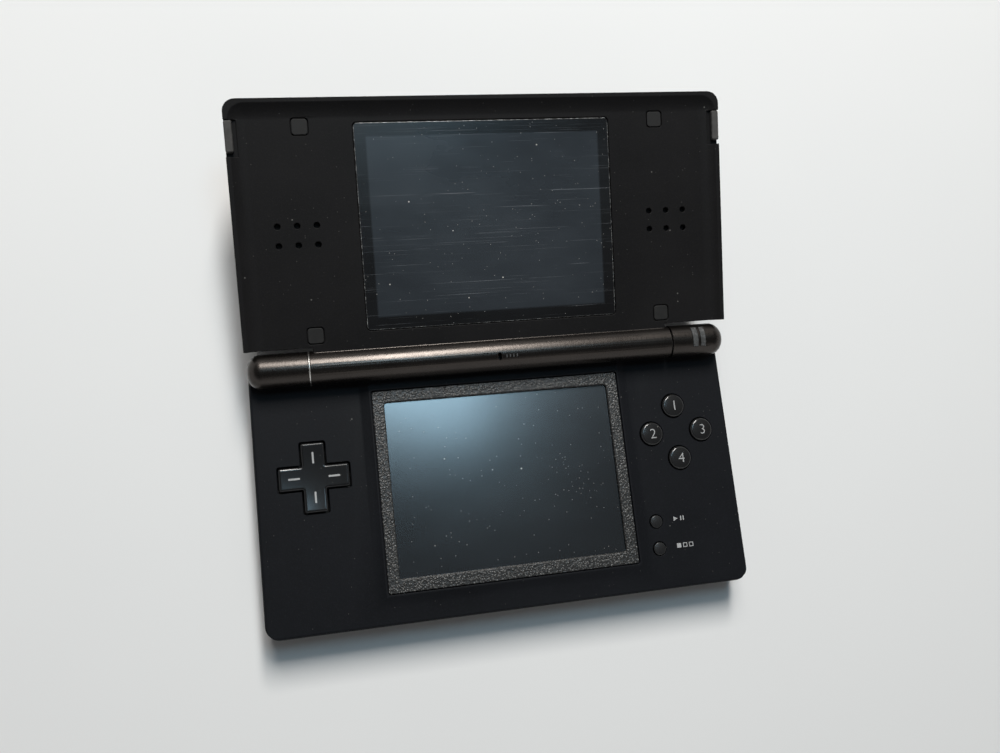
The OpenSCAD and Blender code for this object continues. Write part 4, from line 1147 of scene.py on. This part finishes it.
@dataclass
class Controls:
    """Direction pad, face buttons, menu buttons, sliders, and the marks on and beside them.

    Places are measured in the plan from the middle of the hinge axis, and heights from the floor. The pad's
    dashes, boxes and bars are measured from the pad's or the mark's own middle or left end.
    """

    top: float = 13.5
    menu_top: float = 13.0
    face: float = 12.5
    foot: float = 12.0
    pad: Pair = (-51.3, -28.4)
    reach: float = 9.15
    arm: float = 3.05
    dip: float = 0.5
    pad_edge: float = 0.66
    pad_corner: float = 0.55
    pad_fillet: float = 0.25
    pad_steps: tuple[float, ...] = (0.8, 1.1, 1.5, 1.9, 2.3, 2.7)
    dash: float = 5.2
    dash_half: Pair = (1.5, 0.24)
    dash_corner: float = 0.15
    cluster: Pair = (50.8, -25.5)
    spread: float = 7.5
    button_r: float = 3.3
    button_crown: float = 0.17
    button_edge: float = 0.72
    menu_x: float = 41.25
    menu_y: Pair = (-50.1, -57.6)
    menu_r: float = 1.75
    menu_crown: float = 0.12
    menu_edge: float = 0.28
    edge_stop: float = 0.12
    numeral: float = 2.7
    numeral_shift: float = 0.15
    numeral_sink: float = 0.2
    mark_shift: Pair = (5.2, 0.25)
    mark_half: float = 0.62
    run_tip: float = 1.25
    run_bars: Pair = (2.0, 2.75)
    run_bar: float = 0.34
    run_corner: float = 0.05
    pick_boxes: Triple = (0.0, 1.8, 3.6)
    pick_corner: float = 0.12
    stroke: float = 0.2
    ink: float = 0.03
    sink: float = 0.1
    large_soft: float = 0.3
    small_soft: float = 0.15

    def pad_height(self, points: np.ndarray) -> np.ndarray:
        """Height of the pad's dished top: the rim's height less dip times (1 - (r / reach) squared)."""
        r2 = (points ** 2).sum(1)
        return self.top - self.dip * (1 - r2 / self.reach ** 2)

    def build_pad(self) -> None:
        """Builds the direction pad: outlines of the cross drawn in step by step along the dished top."""
        t = np.linspace(0, np.pi / 2, 6)
        inward = [*self.pad_steps, self.arm]
        insets = np.concatenate([self.pad_edge * (1 - np.cos(t)), inward])
        drops = np.concatenate([self.pad_edge * (1 - np.sin(t)), np.zeros(len(inward))])
        loops = [cross_loop(self.reach, self.arm, inset, self.pad_corner, self.pad_fillet)
                 for inset in insets]
        rings = [lift(loops[0], self.foot)]
        rings += [np.column_stack([loop, self.pad_height(loop) - drop]) for loop, drop in zip(loops, drops)]
        surface = Surface()
        surface.add_rings(rings, caps=(True, False))
        star = loops[-1][np.abs(loops[-1]).max(1) <= self.arm + self.pad_fillet + 1e-6]
        surface.add_rings([np.column_stack([star * k, self.pad_height(star * k)])
                           for k in (1.0, 0.66, 0.33, 1e-5)])
        surface.points = [p + (*self.pad, 0) for p in surface.points]
        replace("direction_pad", surface)

    def build_dashes(self) -> None:
        """Builds the pale dash on each arm of the direction pad."""
        surface = Surface()
        for dx, dy in ((0, 1), (-1, 0), (1, 0), (0, -1)):
            half = self.dash_half[::-1] if dx == 0 else self.dash_half
            x, y = self.dash * dx, self.dash * dy
            loop = rounded_loop((x - half[0], x + half[0]), (y - half[1], y + half[1]), self.dash_corner, 3)
            height = self.pad_height(loop)
            rings = [np.column_stack([loop, height + z]) + (*self.pad, 0) for z in (-self.sink, self.ink)]
            surface.add_rings(rings, caps=(True, True))
        make_piece("direction_pad_dashes", surface, body_of("direction_pad"), "mark")

    def crown(self, r: np.ndarray, radius: float, crown: float, top: float) -> np.ndarray:
        """Height of a button's crown: its top less crown times (r / radius) squared."""
        return top - crown * (r / radius) ** 2

    def build_button(self, name: str, place: Pair, radius: float, crown: float, edge: float,
                     top: float) -> None:
        """Builds a turned button: straight side, quarter-round edge, and a crown that falls with r squared.

        The edge stops a little short of level, so that it runs into the crown without a doubled ring.

        Args:
            name: CAD node that it takes the place of.
            place: its middle.
            radius: its radius.
            crown: how much the crown falls up to the edge.
            edge: radius of the edge.
            top: height of its top.
        """
        inner = radius - edge
        t = np.linspace(0, np.pi / 2 - self.edge_stop, 8)
        rim = self.crown(np.array([inner]), inner, crown, top)[0]
        side = np.column_stack([inner + edge * np.cos(t), rim - edge + edge * np.sin(t)])
        r = np.linspace(inner, 0.0, 10)
        cap = np.column_stack([r, self.crown(r, inner, crown, top)])
        profile = np.concatenate([[[radius, self.foot]], side, cap])
        surface = Surface()
        surface.add_rings(lathe(profile, place), caps=(True, False))
        replace(name, surface, "button_plastic" if radius == self.button_r else None)

    def build_numeral(self, text: str, button: str, place: Pair) -> None:
        """Builds a numeral as a thin plate that lies on top of a button.

        Args:
            text: the numeral.
            button: node of the button.
            place: middle of the button.
        """
        points, faces = drawn_text(text, self.numeral)
        points[:, 0] += self.numeral_shift
        points[:, 2] = self.top - self.numeral_sink + (self.numeral_sink + self.ink) * points[:, 2]
        surface = Surface()
        surface.add_points(points + (*place, 0))
        surface.faces = faces
        make_piece("numeral_" + text, surface, body_of(button), "mark")

    def build_mark(self, mark: Mark, y: float) -> None:
        """Builds the mark beside a menu button, on the control face.

        Args:
            mark: which mark.
            y: its middle.
        """
        surface = Surface()
        x, half = self.menu_x + self.mark_shift[0], self.mark_half
        tall = (y - half, y + half)
        if mark is Mark.RUN:
            loops = [np.array([[x, y - half], [x + self.run_tip, y], [x, y + half]])]
            loops += [rounded_loop((x + a, x + a + self.run_bar), tall, self.run_corner, 1)
                      for a in self.run_bars]
            holes = [[], [], []]
        else:
            loops = [rounded_loop((x + a, x + a + 2 * half), tall, self.pick_corner, 2)
                     for a in self.pick_boxes]
            holes = [[], [self.inner_loop(loops[1])], [self.inner_loop(loops[2])]]
        high, low = self.face + self.ink, self.face - self.sink
        for loop, inner in zip(loops, holes):
            surface.add_plate([loop] + inner, high)
            surface.add_plate([loop] + inner, low, up=False)
            surface.add_rings([lift(loop, low), lift(loop, high)])
            for hole in inner:
                surface.add_rings([lift(hole, low), lift(hole, high)], flip=True)
        make_piece("mark_" + mark.name.lower(), surface, "base", "mark")

    def inner_loop(self, loop: np.ndarray) -> np.ndarray:
        """Draws an outline in towards its middle by a stroke's width.

        Args:
            loop: the outline.

        Returns:
            The inner outline.
        """
        middle = (loop.min(0) + loop.max(0)) / 2
        half = (loop.max(0) - loop.min(0)) / 2
        return middle + (loop - middle) * (half - self.stroke) / half

    def build(self) -> None:
        """Builds the controls."""
        self.build_pad()
        self.build_dashes()
        places = {"top": (0, 1), "left": (-1, 0), "right": (1, 0), "bottom": (0, -1)}
        for (name, (dx, dy)), text in zip(places.items(), "1234"):
            place = (self.cluster[0] + self.spread * dx, self.cluster[1] + self.spread * dy)
            self.build_button("button_" + name, place, self.button_r, self.button_crown, self.button_edge,
                              self.top)
            self.build_numeral(text, "button_" + name, place)
        for name, y, mark in zip(("start", "select"), self.menu_y, Mark):
            self.build_button("button_" + name, (self.menu_x, y), self.menu_r, self.menu_crown,
                              self.menu_edge, self.menu_top)
            self.build_mark(mark, y + self.mark_shift[1])
        for name in ("left_shoulder_button", "right_shoulder_button", "cartridge_cover"):
            softened_copy(name, self.large_soft, 3)
        for name in ("power_slider", "volume_slider", "stylus"):
            softened_copy(name, self.small_soft)


@dataclass
class TouchRing:
    """Speckled ring around the touch screen.

    Each step of its rounded edges holds its distance from the side and how far it lies below the top.
    """

    outer_x: float = 34.55
    outer_y: Pair = (-60.7, -7.05)
    inner_x: float = 31.4
    inner_y: Pair = (-57.2, -10.3)
    corners: Pair = (0.6, 0.8)
    low: float = 12.6
    high: float = 13.3
    outer_steps: tuple[Pair, ...] = ((0.0, 0.18), (0.05, 0.05), (0.18, 0.0))
    inner_steps: tuple[Pair, ...] = ((0.42, 0.0), (0.22, 0.07), (0.06, 0.25))

    def build(self) -> None:
        """Builds the ring: rectangles from its outer foot over its top to its inner foot and back."""
        foot = (0.0, self.high - self.low)
        rings = []
        for away, drop in (foot, *self.outer_steps):
            x, y = self.outer_x - away, (self.outer_y[0] + away, self.outer_y[1] - away)
            rings.append(lift(rounded_loop((-x, x), y, self.corners[0] - away), self.high - drop))
        for away, drop in (*self.inner_steps, foot):
            x, y = self.inner_x + away, (self.inner_y[0] - away, self.inner_y[1] + away)
            rings.append(lift(rounded_loop((-x, x), y, self.corners[1] + away), self.high - drop))
        surface = Surface()
        surface.add_rings(rings + rings[:1])
        replace("touch_ring", surface)


@dataclass
class Trim:
    """Lens, rubber parts and small visible parts of the lid and the underside.

    In the lid, d is the distance from the hinge axis along the slope and h the height over it. A rounding
    holds the radius of a block's corners and that of its upper edge.
    """

    lens_x: float = 34.45
    lens_d: Pair = (9.2, 62.9)
    lens_h: Pair = (0.92, 1.77)
    lens_round: Pair = (1.0, 0.16)
    pad_x: float = 48.0
    pad_d: Pair = (8.7, 62.2)
    pad_half: float = 2.02
    pad_h: Pair = (0.98, 1.84)
    pad_round: Pair = (0.8, 0.22)
    bumper_x: Pair = (64.5, 66.5)
    bumper_d: Pair = (56.0, 64.0)
    bumper_h: Pair = (1.95, 3.3)
    bumper_round: Pair = (0.5, 0.45)
    # Ring beside the barrel that stands in for the highlight on the barrel end's bevel.
    highlight_collar_x: float = -50.25
    highlight_collar_r: float = 4.47
    highlight_collar_t: float = 0.19
    tick_x: float = 2.2
    tick_pitch: float = 0.95
    tick_count: int = 4
    tick_half: Pair = (0.16, 0.42)
    tick_corner: float = 0.08
    tick_sink: float = 0.1
    tick_ink: float = 0.02
    foot_soft: float = 0.3
    cover_soft: float = 0.1

    def block(self, surface: Surface, x: Pair, d: Pair, h: Pair, rounding: Pair) -> None:
        """Adds a block that lies in the lid, rounded by the radii of its corners and of its upper edge."""
        surface.add_rings([in_lid(ring) for ring in cushion(x, d, h, *rounding)], caps=(True, True))

    def build_highlight_collar(self) -> None:
        """Builds the bright metal ring left of the barrel, which stands in for the highlight on the barrel
        end's bevel: a small circle carried around the hinge axis.
        """
        turn, tube = np.meshgrid(np.linspace(0, 2 * np.pi, 96, endpoint=False),
                                 np.linspace(0, 2 * np.pi, 12, endpoint=False), indexing="ij")
        x = self.highlight_collar_x + self.highlight_collar_t * np.sin(tube)
        r = self.highlight_collar_r + self.highlight_collar_t * np.cos(tube)
        rings = np.stack([x, r * np.cos(turn), AXIS_Z + r * np.sin(turn)], -1)
        surface = Surface()
        surface.add_rings(list(rings) + [rings[0]])
        make_piece("hinge_highlight_collar", surface, "base", "highlight_collar_metal")

    def build_ticks(self) -> None:
        """Builds the pale ticks on the barrel's front, at height h = root of (r squared - d squared)."""
        surface = Surface()
        wide, tall = self.tick_half
        for i in range(self.tick_count):
            x = self.tick_x + self.tick_pitch * i
            loop = rounded_loop((x - wide, x + wide), (-tall, tall), self.tick_corner, 2)
            rings = [np.column_stack([loop, np.sqrt(r ** 2 - loop[:, 1] ** 2)])
                     for r in (BARREL_R - self.tick_sink, BARREL_R + self.tick_ink)]
            surface.add_rings([in_lid(ring) for ring in rings], caps=(True, True))
        make_piece("microphone_ticks", surface, "lid", "faint_mark")

    def build(self) -> None:
        """Builds the trim."""
        self.build_ticks()
        lens, pads, bumpers = Surface(), Surface(), Surface()
        self.block(lens, (-self.lens_x, self.lens_x), self.lens_d, self.lens_h, self.lens_round)
        replace("upper_lens", lens)
        half = self.pad_half
        for x in (-self.pad_x, self.pad_x):
            for d in self.pad_d:
                self.block(pads, (x - half, x + half), (d - half, d + half), self.pad_h, self.pad_round)
        replace("lid_screw_pads", pads, "pad_rubber")
        for x in (self.bumper_x, (-self.bumper_x[1], -self.bumper_x[0])):
            self.block(bumpers, x, self.bumper_d, self.bumper_h, self.bumper_round)
        replace("lid_side_bumpers", bumpers)
        self.build_highlight_collar()
        softened_copy("rubber_feet", self.foot_soft, 3)
        softened_copy("battery_cover", self.cover_soft)


@dataclass(frozen=True)
class Lamp:
    """Rectangular lamp, with its place, the point that it faces and its width and height in millimetres."""

    name: str
    place: Triple
    aim: Triple
    size: Pair
    watts: float
    colour: Triple

    def build(self) -> None:
        """Adds the lamp to the scene."""
        data = bpy.data.lights.new(self.name, "AREA")
        data.shape = "RECTANGLE"
        data.size, data.size_y = self.size[0] * MM, self.size[1] * MM
        data.energy = self.watts
        data.color = self.colour
        lamp = add_object(self.name, data)
        lamp.location = Vector(self.place) * MM
        lamp.rotation_euler = (Vector(self.aim) - Vector(self.place)).to_track_quat("-Z", "Y").to_euler()


@dataclass
class Studio:
    """Floor, surroundings, lamps and camera; the floor's size and fade and the near limit are in metres."""

    place: Triple = (-47.715, -41.159, 251.663)
    turn: Triple = (9.5231, -10.6094, -6.3077)
    lens: float = 31.83
    sensor: float = 36.0
    near: float = 0.01
    backdrop: Triple = (0.80, 0.81, 0.82)
    dim: float = 0.085
    fade: Pair = (0.34, 0.60)
    floor_half: float = 4.0
    floor_fade: Pair = (0.24, 0.75)
    paper: tuple[Triple, Triple] = ((0.72, 0.72, 0.72), (0.76, 0.76, 0.755))
    lamps: tuple[Lamp, ...] = (
        Lamp("key", (90, 620, 850), (0, -10, 10), (150, 460), 9.6, (1.0, 0.97, 0.93)),
        Lamp("window", (-115, 620, 850), (0, -10, 10), (210, 460), 3.0, (1.0, 0.98, 0.95)),
        Lamp("overhead", (46, 122, 600), (0, -10, 0), (150, 150), 0.54, (0.50, 0.80, 1.0)),
        Lamp("front_fill", (150, -620, 500), (0, -20, 0), (500, 300), 0.28, (1.0, 0.98, 0.96)),
    )

    def build_floor(self) -> None:
        """Builds the paper floor, which fades to the backdrop far away where it is seen."""
        half = self.floor_half
        mesh = bpy.data.meshes.new("floor")
        corners = [(-half, -half, 0), (half, -half, 0), (half, half, 0), (-half, half, 0)]
        mesh.from_pydata(corners, [], [(0, 1, 2, 3)])
        floor = add_object("floor", mesh)
        g = Graph("floor_paper")
        away = g.add("ShaderNodeVectorMath", {0: g.place}, operation="LENGTH").outputs["Value"]
        far = g.span(away, *self.floor_fade, smooth=True)
        g.set("Base Color", g.mix(far, g.mix(g.noise(6.0, 3.0), *self.paper), (0.0, 0.0, 0.0)))
        g.set("Emission Color", (*self.backdrop, 1))
        g.set("Emission Strength", g.times(far, g.seen()))
        g.set("Roughness", 0.9)
        g.set("Specular IOR Level", 0.1)
        mesh.materials.append(g.material)

    def build_world(self) -> None:
        """Builds the surroundings: dim light all around, and a pale backdrop that fades with height."""
        world = bpy.data.worlds.new("studio")
        bpy.context.scene.world = world
        world.use_nodes = True
        tree = Tree(world.node_tree)
        place = tree.add("ShaderNodeTexCoord").outputs["Generated"]
        height = tree.add("ShaderNodeSeparateXYZ", {0: place}).outputs[2]
        fade = tree.span(height, *self.fade, 1.0, 0.0)
        back = world.node_tree.nodes["Background"].inputs
        tree.feed(back["Color"], (*self.backdrop, 1))
        tree.feed(back["Strength"], tree.span(tree.times(fade, tree.seen()), 0.0, 1.0, self.dim, 1.0))

    def build_camera(self) -> None:
        """Builds the camera."""
        data = bpy.data.cameras.new("camera")
        data.lens = self.lens
        data.sensor_width = self.sensor
        data.clip_start = self.near
        camera = add_object("camera", data)
        camera.location = Vector(self.place) * MM
        camera.rotation_euler = Euler([math.radians(a) for a in self.turn], "XYZ")
        bpy.context.scene.camera = camera

    def build(self) -> None:
        """Builds the studio."""
        self.build_floor()
        self.build_world()
        for lamp in self.lamps:
            lamp.build()
        self.build_camera()
        bpy.context.scene.view_settings.view_transform = "Standard"


def dress_cad_nodes() -> None:
    """Gives every CAD node its finish; those that a piece replaces stay hidden."""
    for name, node in frame["nodes"].items():
        for slot in node.material_slots:
            slot.material = FINISH[SLOT_OF[name]]
        if not node.material_slots:
            node.data.materials.append(FINISH[SLOT_OF[name]])


def main() -> None:
    """Builds the console's looks and the studio."""
    dress_cad_nodes()
    for part in (Shells(), Controls(), TouchRing(), Trim(), Studio()):
        part.build()
        log.info("%s done", type(part).__name__)


if __name__ == "__main__":
    main()
